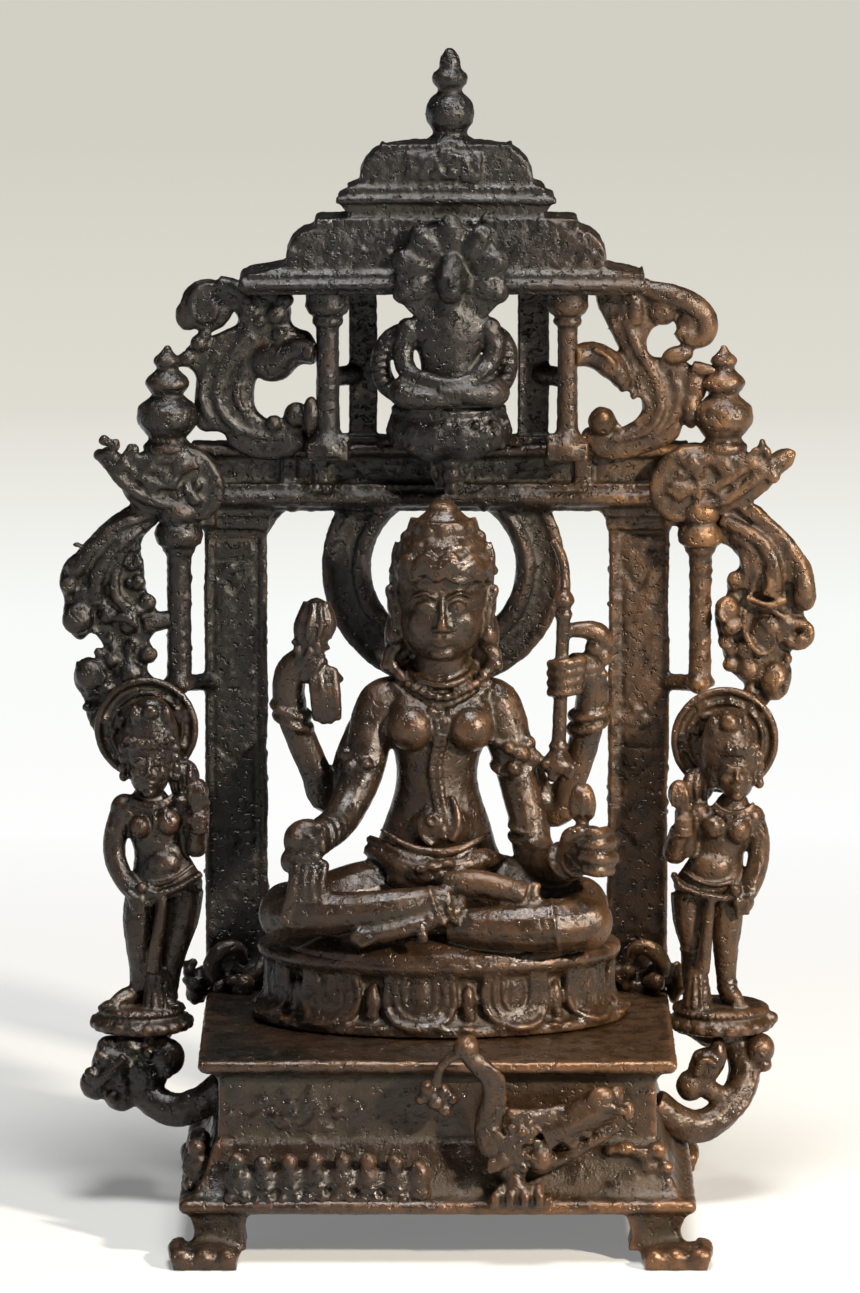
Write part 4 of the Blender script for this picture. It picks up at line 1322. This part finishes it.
def makePavilion():
    floor, eave = pavilion["floor"], pavilion["eave"]
    for x, r in pavilion["columns"]:
        turned([[r + 3.4, floor - 2], [r + 3, floor + 1], [r + 1.2, floor + 3.4], [r + 0.2, floor + 5],
                [r, floor + 20], [r, eave - 9.4], [r + 1, eave - 8.6], [r + 1.2, eave - 7.6],
                [r + 0.6, eave - 6.6], [r + 2.2, eave - 5.6], [r + 3, eave - 3.8], [r + 2.8, eave - 2],
                [r + 3, eave + 2]], x, 34, steps=24)
        side = -1 if x < 0 else 1
        strand([(x, 34, 225.4), (x - side * 7, 43, 225.4)], [2.7, 2.9])
        block(x - 5.6, x + 5.6, 29, 48, floor - 3.4, floor + 1.6)
        ball(x - side * 4.4, 32, floor + 2.6, (2, 2, 1.6))
    for x0, x1 in pavilion["pilasters"]:
        block(x0, x1, 42, 46, floor - 1, eave + 2)
        for x in (x0 + 0.5, x1 - 0.5):
            strand([(x, 42.4, floor), (x + 0.2, 42.4, floor + 20), (x, 42.4, eave)], 0.7)
    block(-34, 39, 40, 47, floor - 4, floor + 2)
    # saint seated cross-legged on a lotus, under seven snake hoods
    x, y = pavilion["saint"]["x"], pavilion["saint"]["y"]
    seatY = y + 4
    turned([[5, 200], [7, 203.4], [12, 206], [16.4, 208.4], [17.4, 211.6], [16.4, 215], [15.6, 216.8],
            [15.6, 218.4], [14.2, 219.2]], x, seatY, 0.76, 40)
    block(x - 7, x + 7, seatY, 42, 203, 217)
    beads([around(x, seatY, math.radians(a), 15.2, 11.4, 217.6) for a in range(-90, 91, 15)], 0.8)
    for turn in (-66, -40, -16, 16, 40, 66):
        a = math.radians(turn)
        ball(*around(x, seatY, a, 15.4, 12, 212), (3.2, 1.7, 3.4), (0, 0, turn))
        for k in range(3):
            ball(x + 15.6 * math.sin(a + 0.1 * k), seatY - 12.6 * math.cos(a), 208.4 + 3.2 * k,
                 (1.4, 1, 1.2), fine=6)
    for side in (-1, 1):
        roll([(x + side * 7, y + 4, 206.6), (x + side * 12, y + 5, 208.6), (x + side * 16, y + 7, 208.6),
              (x + side * 18.6, y + 11, 207.4)], [1.8, 1.8, 1.4, 1.4])
    for z, r in ((212.6, 3.2), (208.6, 3), (204, 2.9), (200, 2.7), (196.4, 2.3)):
        ball(x + 0.6, y - 1.6 + 0.12 * (212 - z), z, (r, r * 0.9, r))
    block(x - 4, x + 4, y + 1, 42, 196, 206)
    for side in (-1, 1):  # claws that hold the front of the halo
        strand([(x + side * 3.4, y - 0.4, 207), (x + side * 4.4, y + 1, 201),
                (x + side * 2.6, y + 2.4, 196.6)], [1, 1.2, 0.8])
    ball(x, y + 1, 221, (13.6, 8.6, 3.4), fine=20)
    for side in (-1, 1):  # crossed legs
        strand([(x + side * 4.6, y + 1, 223.4), (x + side * 11.2, y - 1.6, 223.8),
                (x + side * 12.6, y - 4.6, 223.2), (x + side * 7, y - 8, 222.6 + side * 0.6),
                (x - side * 3, y - 9, 223 + side)], [4, 4, 4, 3.2, 2.2])
    loft([[221, x, y + 1, 8.8, 5.4], [226, x, y + 1, 7.8, 5.2], [231, x, y + 1, 7.8, 5],
          [236, x, y + 1, 9.4, 5.4], [240, x, y + 1, 12, 5.4], [242.6, x, y + 1, 10.6, 4.8],
          [246, x, y + 0.8, 5, 4.2], [250, x, y + 0.4, 3.4, 3.4]], sides=20)
    # heavy arms, ribbed where the snake's coils cross them, with the hands in the lap
    for side, arm in ((-1, [(-8, 238.8), (-12.8, 236.6), (-15.4, 230.6), (-13.8, 224.4), (-9, 220.6)]),
                      (1, [(13.8, 238.8), (17.6, 236.4), (19.2, 230.6), (17.4, 224.6), (12.8, 220.6)])):
        arm = [(px, y + 3, pz) for px, pz in arm]
        strand(arm, [3.2, 3, 2.9, 2.9, 2.4])
        for p in pathThrough(arm, 2.1):
            strand([(p.x - 2.8, p.y - 1.8, p.z - 0.6), (p.x, p.y - 3.2, p.z),
                    (p.x + 2.8, p.y - 1.8, p.z - 0.6)], [0.3, 0.6, 0.3])
        roll([(x + side * 11, y + 0.4, 240), (x + side * 12.4, y, 235),
              (x + side * (11.4 if side < 0 else 9.6), y - 2, 229), (x + side * 5, y - 7, 226.6),
              (x + side * 0.6, y - 8.4, 226)], [3.2, 3, 2.8, 2.3, 2])
    ball(x + 0.4, y - 2.6, 253.8, (4.6, 5, 5.8), fine=16)
    ball(x + 0.4, y - 3.6, 250.9, (3.7, 3.8, 3.6))
    ball(x + 0.4, y - 1.6, 259.2, (3, 3, 1.8))
    for side in (-1, 1):
        ball(x + 0.4 + side * 4.9, y - 1.6, 252.6, (1, 1.6, 3))
        ball(x + 0.4 + side * 1.8, y - 7.2, 255.2, (1.2, 0.6, 0.6))
    ball(x + 0.4, y - 7.8, 253.4, (0.8, 0.9, 1.5))
    ball(x + 0.4, y - 7.2, 250.9, (1.5, 0.6, 0.5))
    strand([(x, y, 244), (x + 0.2, y - 1.4, 251)], [3.6, 3])
    for k in range(7):
        a = math.radians(-24 + 38 * k)
        out = 13.4 if k in (0, 6) else 13
        px, pz = x + 0.4 + out * math.cos(a), 255.4 + (out - 0.6) * math.sin(a)
        ball(px - 2.4 * math.cos(a), y - 0.4, pz - 2.4 * math.sin(a), (4.2, 2.8, 6.2),
             (0, 90 - math.degrees(a), 0), fine=12)
        ball(px, y - 1.6, pz, (2.6, 1.7, 2.4), (0, 90 - math.degrees(a), 0))
    plate([[x + 0.4 + 15 * math.cos(math.radians(a)), 254.4 + 14.4 * math.sin(math.radians(a))]
           for a in range(-42, 223, 22)] + [[x - 7, 242.4], [x + 7.6, 242.4]], y - 1.6, y + 4, 0.8)
    block(x - 8, x + 8, y + 3, 46, 239, 254)
    piece = castPiece("pavilion", 0.48, pitted=0.4, pitSize=2, keep=100000)
    handOver(piece, "back_frame", blackBronze)


roofFacts = {"x": 2.4, "y": 38, "eaves": [[53, 249], [55.2, 250], [55.5, 251.6], [55, 253.4], [52.4, 254.8],
                                          [44, 256.6], [36, 257.6]],
             "profile": [[40, 254], [42.4, 256.4], [43.6, 257.8], [43.4, 260.6], [42, 263.6], [39.2, 266],
                         [36, 267], [35.7, 269.2], [34.8, 269.7], [27, 270], [26.6, 270.8], [28.2, 272.6],
                         [29.6, 274.4], [29.2, 275.8], [26.6, 276.6], [26.2, 278.4], [23.6, 279.2],
                         [23.4, 282], [22.2, 285], [20, 287.4], [17.4, 289], [9, 290.2]],}


def deepAt(half):
    return 11 * (0.35 + 0.65 * half / 55)


def makeRoof():
    x, y = roofFacts["x"], roofFacts["y"]
    for steps, dx in (("eaves", -1.1), ("profile", 0)):
        tiers([[half, deepAt(half), z] for half, z in roofFacts[steps]], x + dx, y)
    for half, z, size in ((53.6, 254.6, 0.55), (26.2, 277.6, 0.85), (17.4, 289.3, 0.7), (43, 257.4, 0.45)):
        deep = deepAt(half)
        beads([(x - half, y - deep, z), (x, y - deep, z), (x + half, y - deep, z)], size, size * 2.1)
        for side in (-1, 1):
            beads([(x + side * half, y - deep, z), (x + side * half, y + deep * 0.8, z)], size, size * 2.3)
    strand([(x - 30, y - deepAt(30), 274.6), (x - 8, y - deepAt(30) - 0.2, 274.8),
            (x + 30, y - deepAt(30), 274.4)], 1.1)
    strand([(x - 55.4, y - deepAt(55), 251.6), (x, y - deepAt(55) - 0.2, 251.8),
            (x + 53.4, y - deepAt(55), 251.4)], 1.3)
    # worn relief panel on the front of the top tier
    front = y - deepAt(23) - 0.6
    block(x - 11, x + 9.6, front, y, 280, 287.4)
    for k in range(34):
        ball(x + chance.uniform(-10.4, 9), front, chance.uniform(280.6, 287.4),
             (chance.uniform(0.7, 1.7), 0.9, chance.uniform(0.7, 1.6)), fine=6)
    strand([(x - 7, front, 281), (x - 4, front - 0.3, 286.4), (x - 0.6, front, 281.4),
            (x + 3, front - 0.3, 286.6), (x + 6.6, front, 281)], 0.8)
    turned([[6, 289.2], [6.4, 290.6], [4.6, 291.8], [4.8, 293], [6.3, 295], [6.8, 297.4], [6.5, 299.8],
            [5.1, 302], [3.3, 303.4], [3.4, 304.4], [4.7, 305.8], [5.1, 307.2], [4.5, 308.6], [2.9, 309.8],
            [3.1, 311], [2.6, 312.8], [1.5, 314.8], [0.6, 315.4]], x + 1, y, steps=28)
    for k in range(60):  # rough skin, heaviest at the eaves
        half = chance.choice((43.6, 55.2, 36.2))
        z = {43.6: 260, 55.2: 251.6, 36.2: 268.4}[half]
        ball(x + chance.uniform(-half, half), y - deepAt(half), z + chance.uniform(-1.4, 1.4),
             (chance.uniform(0.6, 1.6), 0.5, chance.uniform(0.5, 1)), fine=6)
    piece = castPiece("roof", 0.56, pitted=0.5, pitSize=2, keep=75000)
    handOver(piece, "back_frame", blackBronze)


hangingLeaves()
print("leaves ready")
makeBeasts()
print("beasts ready")
makePavilion()
print("pavilion ready")
makeRoof()
print("roof ready")

# The two attendants: each stands on a round base with one hand lowered and one raised
attendants = {"right": {"side": 1, "stand": (77.9, 22, 15, 12.8), "haloAt": (78.8, 126.2, 14.9),
                        "head": (81.7, 20, 119.6, 5.9), "bun": (79.6, 134.4, 2.9),
                        "torso": [[84, 74.6, 22, 10, 6], [88, 74.4, 22, 10.4, 6.4],
                                  [91, 75.4, 22, 8.8, 5.8], [96, 76.8, 22, 6.8, 4.8],
                                  [100, 78.6, 22, 7.8, 4.8], [104, 79.8, 22, 8.6, 5],
                                  [107.4, 80.4, 22.2, 8, 4.6], [109.6, 80.6, 22.4, 4.4, 4],
                                  [113, 81, 22.4, 3.8, 3.8]], "bust": [(75.5, 104, 3.3), (82.2, 103, 3.6)],
                        "belly": (75.2, 92.4, 5.8), "legs": [[(69, 22, 85, 5.2), (69, 21, 78, 4.6),
                                                              (70, 20.4, 70, 3.4), (69.9, 21, 62, 2.9),
                                                              (70.4, 20.4, 57.4, 2.7)],
                                                             [(79, 22, 85, 5.2), (79.2, 21, 77, 4.7),
                                                              (79.1, 20.4, 69.6, 3.6), (79.3, 21, 62, 2.9),
                                                              (79.6, 20.4, 57.4, 2.7)]],
                        "toes": [(71.4, 15.6), (83, 15.4)],
                        "outerArm": [(86, 22, 105.6, 3.6), (87.6, 21.6, 101, 3.3), (88, 21, 96.4, 3.1),
                                     (87, 19.4, 90.6, 3), (84.8, 17.6, 85.4, 2.7)],
                        "innerArm": [(72, 22, 106, 3.6), (67, 21, 100.6, 3.5), (65, 19.6, 96.6, 3.5),
                                     (65.2, 17.4, 99.6, 3), (66.4, 15.6, 103.6, 2.9)], "lock": (71.4, 114),
                        "held": (66, 15.8, 113.6), "handAt": (67.2, 14.6, 105),
                        "belt": [(64.6, 19, 90.6), (66.6, 16.6, 87.8), (70.4, 15, 86.2), (75, 14.6, 85.2),
                                 (79.8, 15.4, 84.8), (83.4, 18, 87.6)],
                        "upperBelt": [(67.2, 18, 91.6), (71.4, 15.4, 89.4), (76, 15, 88.4),
                                      (81.4, 16.4, 89.2)],
                        "sash": [(74.8, 14.6, 85), (74, 14.6, 78), (73.2, 15, 70), (72.4, 16, 64)],
                        "sashFoot": (71.2, 16.4), "necklace": [(75.6, 17.6, 109.2), (78, 16.6, 107.4),
                                                               (81.4, 16.4, 106.8), (85, 17.2, 107.8),
                                                               (86.6, 18.4, 109)],},
              "left": {"side": -1, "stand": (-81.2, 22, 14.6, 11.5), "haloAt": (-79.7, 129.4, 14.4),
                       "head": (-78.6, 20, 121.6, 6.7), "bun": (-78.2, 137.4, 2.4),
                       "torso": [[84, -74.6, 22, 10.4, 6], [88, -74, 22, 10.4, 6.4],
                                 [92, -74.6, 22, 8.8, 5.8], [97, -76, 22, 6.8, 4.8], [101, -77, 22, 8, 4.8],
                                 [105, -77.4, 22, 8.8, 5], [109, -78, 22.2, 8.6, 4.6],
                                 [111.6, -78.6, 22.4, 4.6, 4], [115, -79, 22.4, 4, 4]],
                       "bust": [(-81.2, 104, 3.1), (-73.4, 105.4, 3.6)], "belly": (-75, 93.6, 5.4),
                       "legs": [[(-80.4, 22, 85, 5.2), (-81.6, 21, 78, 4.8), (-81.4, 20.4, 71, 4.2),
                                 (-81.2, 21, 63, 3.4), (-81.6, 20.4, 58, 3)],
                                [(-69.4, 22, 86, 5.6), (-70.2, 21, 78, 5), (-72, 20.4, 71, 4.2),
                                 (-73.6, 21, 63, 3.4), (-74, 20.4, 58, 3)]],
                       "toes": [(-89.4, 15.4), (-73, 15.2)],
                       "outerArm": [(-85.4, 22, 108.4, 3.8), (-87.6, 21.6, 102.6, 3.5),
                                    (-88.4, 20.8, 96.6, 3.2), (-86.4, 19, 90.4, 3),
                                    (-82.6, 16.8, 85.6, 2.8)],
                       "innerArm": [(-70, 22, 109, 3.4), (-67, 21, 103, 3.1), (-66, 19.6, 98, 3.1),
                                    (-65.6, 17.6, 101, 2.7), (-65, 15.8, 105, 2.6)], "lock": (-69.6, 116.6),
                       "held": (-65.4, 15.8, 114), "handAt": (-64.6, 14.6, 105.8),
                       "belt": [(-83.6, 18, 86.6), (-79, 15.4, 85.6), (-74, 14.8, 86.4), (-69, 15.6, 88.2),
                                (-64.6, 18.4, 91)], "upperBelt": [(-79.4, 16, 88.4), (-74.6, 15, 89),
                                                                  (-70.4, 15.4, 91), (-66.8, 17.6, 93.4)],
                       "sash": [(-75, 14.6, 85), (-75.6, 14.4, 79), (-76.8, 14.8, 72), (-77.6, 16, 64)],
                       "sashFoot": (-76.6, 17.4), "necklace": [(-84, 18.4, 110.6), (-81, 16.8, 109.6),
                                                               (-77.6, 16.4, 109.2), (-74.4, 17, 110),
                                                               (-72, 18.4, 111.4)],},}


# A small face from points and sizes in parts of its scale: sideways, in front of the head's middle, up
def attendantHead(x, y, z, half):
    k = half / 5.9

    def at(dx, forward, dz):
        return (x + dx * k, y - forward * k, z + dz * k)

    def lump(place, size, turn=0, fine=10):
        ball(*at(*place), tuple(s * k for s in size), (0, 0, turn), fine=fine)

    def line(places, radii):
        strand([at(*place) for place in places], [r * k for r in radii])

    lump((0, -1.4, 2), (5.9, 6, 6.4), fine=14)
    lump((0, 0.6, -2.6), (4.9, 5, 5.8), fine=14)
    lump((0, 4.4, -6.6), (1.7, 1.4, 1.3))
    for side in (-1, 1):
        lump((side * 2.7, 3.9, -1.8), (1.8, 1.5, 2))
        lump((side * 2.3, 4.9, 0.4), (1.4, 0.75, 0.66), side * 18)
        line([(side * 0.9, 5.6, 1.5), (side * 2.4, 5.6, 2.1), (side * 4.2, 4.2, 1.7)], [0.3, 0.36, 0.25])
        line([(side * 1, 5.4, 0.3), (side * 2.3, 5.6, 1), (side * 3.8, 4.4, 0.4)], [0.26] * 3)
        lump((side * 5.9, -1.4, -0.4), (0.9, 1.5, 2.6))
        lump((side * 0.8, 5.8, -2.5), (0.6, 0.6, 0.5))
    line([(0, 5.2, 1.8), (0, 5.9, -0.4), (0, 6.5, -2.1)], [0.45, 0.55, 0.8])
    line([(-1.8, 4.9, -4.3), (0, 5.6, -4.1), (1.8, 4.9, -4.3)], [0.2, 0.42, 0.2])
    line([(-1.4, 4.9, -4.8), (0, 5.4, -5), (1.4, 4.9, -4.8)], [0.25, 0.5, 0.25])


def makeAttendant(facts, name):
    side = facts["side"]
    # round base: flange with petals, disc with a beaded edge
    x, y, wide, narrow = facts["stand"]
    turned([[wide - 3, 46.8], [wide - 1.4, 47.2], [wide - 0.6, 48.6], [wide - 1.2, 50.2],
            [narrow + 0.4, 51], [narrow - 0.4, 51.6], [narrow, 52.6], [narrow - 0.3, 53.6],
            [narrow - 1.2, 54]], x, y, steps=48)
    beads([around(x, y, math.radians(a), narrow, narrow, 52.6) for a in range(-180, 181, 20)], 0.8, 1.75)
    for a in range(-171, 180, 18):
        ball(*around(x, y, math.radians(a), wide - 1.2, wide - 1.2, 48.8), (2, 1.1, 1.6), (0, 0, a))
    if side > 0:
        ball(x + wide - 1.4, y - 2, 50.2, (2.2, 2.2, 2))
    # body
    loft(facts["torso"], sides=20)
    for bx, bz, r in facts["bust"]:
        ball(bx, 18, bz, (r, r * 0.95, r), fine=12)
    bx, bz, r = facts["belly"]
    ball(bx, 18.8, bz, (r, 3.4, r * 0.8), fine=12)
    for leg, (toeX, toeY) in zip(facts["legs"], facts["toes"]):
        strand([p[:3] for p in leg], [p[3] for p in leg])
        ax, ay, az = leg[-1][:3]
        strand([(ax, ay + 1.6, 56.6), ((ax + toeX) / 2, (ay + toeY) / 2 + 0.6, 56.4), (toeX, toeY, 54.8)],
               [2.8, 2.6, 1.5])
        for k in range(4):
            ball(toeX - 1.6 + 1.1 * k, toeY - 0.6 + 0.3 * abs(k - 1.5), 54.7, (0.75, 1.2, 0.75), fine=6)
        ring(leg[2][0], leg[2][1], leg[2][2] - 0.6, 3.2, 0.5)
        ring(ax, ay + 0.4, 60, 2.5, 0.6)
        ring(ax, ay + 0.4, 58.4, 2.6, 0.5)
    for arm in (facts["outerArm"], facts["innerArm"]):
        strand([p[:3] for p in arm], [p[3] for p in arm])
        ball(*arm[0][:3], arm[0][3] * 1.08, fine=12)
        sx, sy, sz = arm[1][:3]
        ring(sx, sy, sz, 3, 0.6, (0, side * 12, 0))
        ball(sx + side * 1.4, sy - 2.6, sz + 0.4, 1.1)
        wx, wy, wz, wr = arm[-1]
        ring(wx, wy, wz, wr + 0.2, 0.55, (10, -side * 30, 0))
    # lowered hand with a folded cloth or fruit at the hip
    hx, hy, hz = facts["outerArm"][-1][:3]
    ball(hx - side * 0.8, hy - 1, hz - 2, (2.8, 2.4, 3.2))
    strand([(hx, hy, hz), (hx - side * 3.4, hy - 0.6, hz - 0.6), (hx - side * 6, hy - 0.4, hz + 0.4)],
           [2.4, 2.2, 1.6])
    for k in range(3):
        roll([(hx - side * (2.2 - 1.1 * k), hy - 2.6, hz - 2),
              (hx - side * (2 - 1 * k), hy - 2.8, hz - 4.8)], 0.7)
    ball(hx - side * 4, hy - 1.4, hz + 0.6, 1.8)
    ball(hx - side * 3.6, hy - 1.2, hz - 2.4, 1.4)
    # raised hand: curled fingers round the stem of a bud
    hx, hy, hz = facts["handAt"]
    ball(hx, hy + 0.6, hz, (2.4, 2.1, 2.8))
    for k in range(4):
        roll([(hx - 1.8, hy - 1.2, hz + 2 - 1.4 * k), (hx, hy - 2, hz + 1.8 - 1.4 * k),
              (hx + 1.8, hy - 1, hz + 2 - 1.4 * k)], 0.72)
    ox, oy, oz = facts["held"]
    strand([(hx, hy, hz + 2), (ox, oy, oz)], [1.5, 1.9])
    ball(ox, oy, oz, (3.2, 2.9, 4), fine=12)
    for k in range(8):
        ball(ox + chance.uniform(-2, 2.6), oy - 1.6, oz + chance.uniform(-8, 2), (1.3, 1.1, 1.3), fine=6)
    strand([(hx, hy + 2, hz + 4), (hx + 0.6 * side, hy + 4, hz - 2), (hx + 1.4 * side, 21, hz - 9)],
           [2.6, 3, 3])
    for k in range(4):
        strand([(ox - 2 + 1.4 * k, oy - 2, oz - 3.2), (ox - 2.1 + 1.4 * k, oy - 2.7, oz),
                (ox - 1 + 0.7 * k, oy - 1.4, oz + 3.4)], [0.4, 0.5, 0.3])
    # dress
    strand(facts["belt"], 1.15)
    beads([(px, py - 0.9, pz + 0.2) for px, py, pz in facts["belt"]], 0.72, 1.5)
    strand(facts["upperBelt"], 0.6)
    strand(facts["sash"], [1.4, 1.6, 1.9, 2.3])
    strand([(px - 1.3, py + 0.4, pz) for px, py, pz in facts["sash"]], 0.6)
    fx, fy = facts["sashFoot"]
    turned([[4, 53.6], [3.9, 55], [3.2, 58], [2.8, 61.4], [2.4, 64.6]], fx, fy, steps=20)
    for a in range(-80, 81, 32):
        turn = math.radians(a)
        strand([around(fx, fy, turn, 2.6, 2.6, 63.4), around(fx, fy, turn, 3.9, 3.9, 54.6)], [0.4, 0.7])
    bx = facts["belt"][-2][0] if side > 0 else facts["belt"][1][0]
    bz = facts["belt"][-2][2] if side > 0 else facts["belt"][1][2]
    ball(bx + side * 1.6, 14.8, bz + 2, 1.7)
    ball(bx + side * 2.2, 14.8, bz - 1.2, 1.5)
    strand([(bx + side * 2, 14.8, bz - 2), (bx + side * 2.4, 15, bz - 5.6)], [1.1, 0.7])
    strand([(px, py + 0.4, pz + 1.4) for px, py, pz in facts["necklace"]], 0.7)
    beads(facts["necklace"], 0.72, 1.4)
    chain = facts["necklace"][len(facts["necklace"]) // 2]
    mid = sum(b[0] for b in facts["bust"]) / 2
    beads([(chain[0], chain[1], chain[2]), (mid, 16.4, facts["bust"][0][1] + 1),
           (mid, 17, facts["bust"][0][1] - 2.4)], 0.55, 1.2)
    # head, hair with a topknot, and the disc behind
    x, y, z, half = facts["head"]
    attendantHead(x, y, z, half)
    bx, bz, r = facts["bun"]
    loft([[z - 7, bx, y + 4.4, 6.4, 4], [z - 2, bx, y + 4, 7.6, 5.4], [z + 4, bx, y + 3, 8, 6.4],
          [z + 8, bx, y + 2.6, 7.6, 6.6], [bz - 3, bx, y + 2.6, 6.6, 5.6], [bz, bx, y + 2.8, 4.8, 4.2],
          [bz + 2, bx, y + 3, 2.4, 2.2]], sides=20)
    ball(bx, y - 2.2, bz - 1.6, (r, r * 0.8, r * 0.9), fine=12)
    for k in (-1, 1):
        ball(bx + k * 4.2, y - 1.6, bz - 2.4, (1.4, 1.4, 2.8))
        for up in range(4):  # curls at the sides of the face
            ball(x + k * (half + 0.4), y + 0.6, z - 4 + 2.6 * up, (1.5, 1.5, 1.6), fine=6)
    strand([(x - half * 0.9, y - 1.4, z + 4.4), (x, y - 4.4 * half / 5.9, z + 5.2),
            (x + half * 0.9, y - 1.4, z + 4.4)], 0.8)
    for k in range(7):
        a = math.radians(-72 + 24 * k)
        ball(x + half * 0.98 * math.sin(a), y + 1.4 - half * 1.02 * math.cos(a), z + 6.4, 1)
    hx, hz, r = facts["haloAt"]
    plate([[hx + (r - 0.4) * math.cos(math.radians(a)), hz + (r - 0.4) * math.sin(math.radians(a))]
           for a in range(0, 360, 15)], 28.6, 31, 0.6)
    for out, thick in ((r - 1.2, 1.15), (r - 4.6, 0.7)):
        strand([(hx + out * math.cos(math.radians(a)), 28.4, hz + out * math.sin(math.radians(a)))
                for a in range(0, 360, 24)], thick, closed=True)
    for k in range(26):
        a, out = chance.uniform(0, 6.28), chance.uniform(6, r - 1)
        ball(hx + out * math.cos(a), 28.2, hz + out * math.sin(a), (1.2, 0.6, 1.2), fine=6)
    strand([(x, 24, z - 4), (hx, 29, z - 2)], 4.4)
    lx, lz = facts["lock"]
    ball(lx, 25.6, lz, (4.6, 3, 5), fine=12)
    for k in range(3):
        strand([(lx - 2.4 + 2.2 * k, 23, lz + 4), (lx - 3 + 2.4 * k, 22.4, lz),
                (lx - 2.4 + 2.2 * k, 23, lz - 4.4)], [0.8, 1, 0.8])
    block(x - 4, x + 4, 23, 29, z - 6, z + 6)
    piece = castPiece(name, 0.44, pitted=0.26, pitSize=1.8, keep=58000)
    handOver(piece, "attendant_right" if side > 0 else "attendant_left", wornBronze)


makeAttendant(attendants["right"], "attendantRight")
makeAttendant(attendants["left"], "attendantLeft")
print("attendants ready")

# Camera, light and floor

# lens: 36 mm of film for a frame 1293 pixels high, at a focal length of 8148 pixels
camera = {"target": (-2, 0, 157), "distance": 2200, "down": 9.6, "lens": 36 * 8148 / 1293}


def setCamera():
    data = bpy.data.cameras.new("photographer")
    data.lens = camera["lens"]
    data.clip_start, data.clip_end = 0.1, 60
    seen = bpy.data.objects.new("photographer", data)
    bpy.context.scene.collection.objects.link(seen)
    down = math.radians(camera["down"])
    x, y, z = camera["target"]
    seen.location = metres(x, y - camera["distance"] * math.cos(down),
                           z + camera["distance"] * math.sin(down))
    seen.rotation_euler = (math.pi / 2 - down, 0, 0)
    bpy.context.scene.camera = seen


# name, place, aim, width, watts, colour: a small key from the right gives the photo's hard shadows
lamps = [
    ("key from the upper right", (1000, -1000, 820), (0, 0, 150), 100, 52, "#fff2e2"),
    ("soft fill from the left", (-1300, -900, 500), (0, 0, 150), 700, 2.4, "#eef3ff"),
    ("soft box overhead", (40, -320, 1500), (0, 0, 80), 500, 27, "#ffffff"),
]


def setLamps():
    for name, place, aim, width, watts, colour in lamps:
        data = bpy.data.lights.new(name, "AREA")
        data.size = width * mm
        data.energy = watts
        data.color = linear(colour)[:3]
        lamp = bpy.data.objects.new(name, data)
        bpy.context.scene.collection.objects.link(lamp)
        lamp.location = metres(*place)
        lamp.rotation_euler = (Vector(aim) - Vector(place)).to_track_quat("-Z", "Y").to_euler()


# paint and its glow, by distance behind the piece in metres; the backdrop's colours by share of the way
floorFacts = {"size": 24, "paint": "#c4c4c0", "rough": 0.8, "way": (0.4, 2.8), "glowFrom": (0.15, 0.55),
              "leastGlow": 0.2, "backdrop": [(0, "#ffffff"), (1, "#d2cfc5"), (0.25, "#f9fbf8"),
                                             (0.5, "#dfdcd2")], "room": "#6f6d69", "roomLight": 0.25,}


def setFloor():
    bpy.ops.mesh.primitive_plane_add(size=floorFacts["size"])
    floor = bpy.context.object
    floor.name = "paleFloor"
    paint = bpy.data.materials.new("matt pale paint")
    paint.use_nodes = True
    tree = paint.node_tree
    tree.nodes.clear()
    place = addNode(tree, "ShaderNodeTexCoord", output="Object")
    depth = addNode(tree, "ShaderNodeSeparateXYZ", {}, {0: place}, "Y")
    near, most = floorFacts["way"]
    far = addNode(tree, "ShaderNodeMapRange", {}, {0: depth, 1: near, 2: most})
    # the lit paint gives way to an evenly glowing backdrop that darkens with distance
    colour = addNode(tree, "ShaderNodeValToRGB", {}, {"Fac": far})
    stops = colour.node.color_ramp.elements
    for at, shade in floorFacts["backdrop"]:
        stop = stops[at] if at in (0, 1) else stops.new(at)
        stop.color = linear(shade)
    near, most = floorFacts["glowFrom"]
    glow = addNode(tree, "ShaderNodeMapRange", {}, {0: depth, 1: near, 2: most, 3: floorFacts["leastGlow"]})
    lit = addNode(tree, "ShaderNodeMix", {"data_type": "RGBA"},
                  {0: glow, 6: linear(floorFacts["paint"]), 7: linear("#000000")}, 2)
    shader = addNode(tree, "ShaderNodeBsdfPrincipled", {},
                     {"Base Color": lit, "Roughness": floorFacts["rough"], "Specular IOR Level": 0.0,
                      "Emission Color": colour, "Emission Strength": glow})
    addNode(tree, "ShaderNodeOutputMaterial", {}, {"Surface": shader})
    floor.data.materials.append(paint)
    world = bpy.data.worlds.new("dim room")
    world.use_nodes = True
    light = world.node_tree.nodes["Background"].inputs
    light["Color"].default_value = linear(floorFacts["room"])
    light["Strength"].default_value = floorFacts["roomLight"]
    bpy.context.scene.world = world


setCamera()
setLamps()
setFloor()
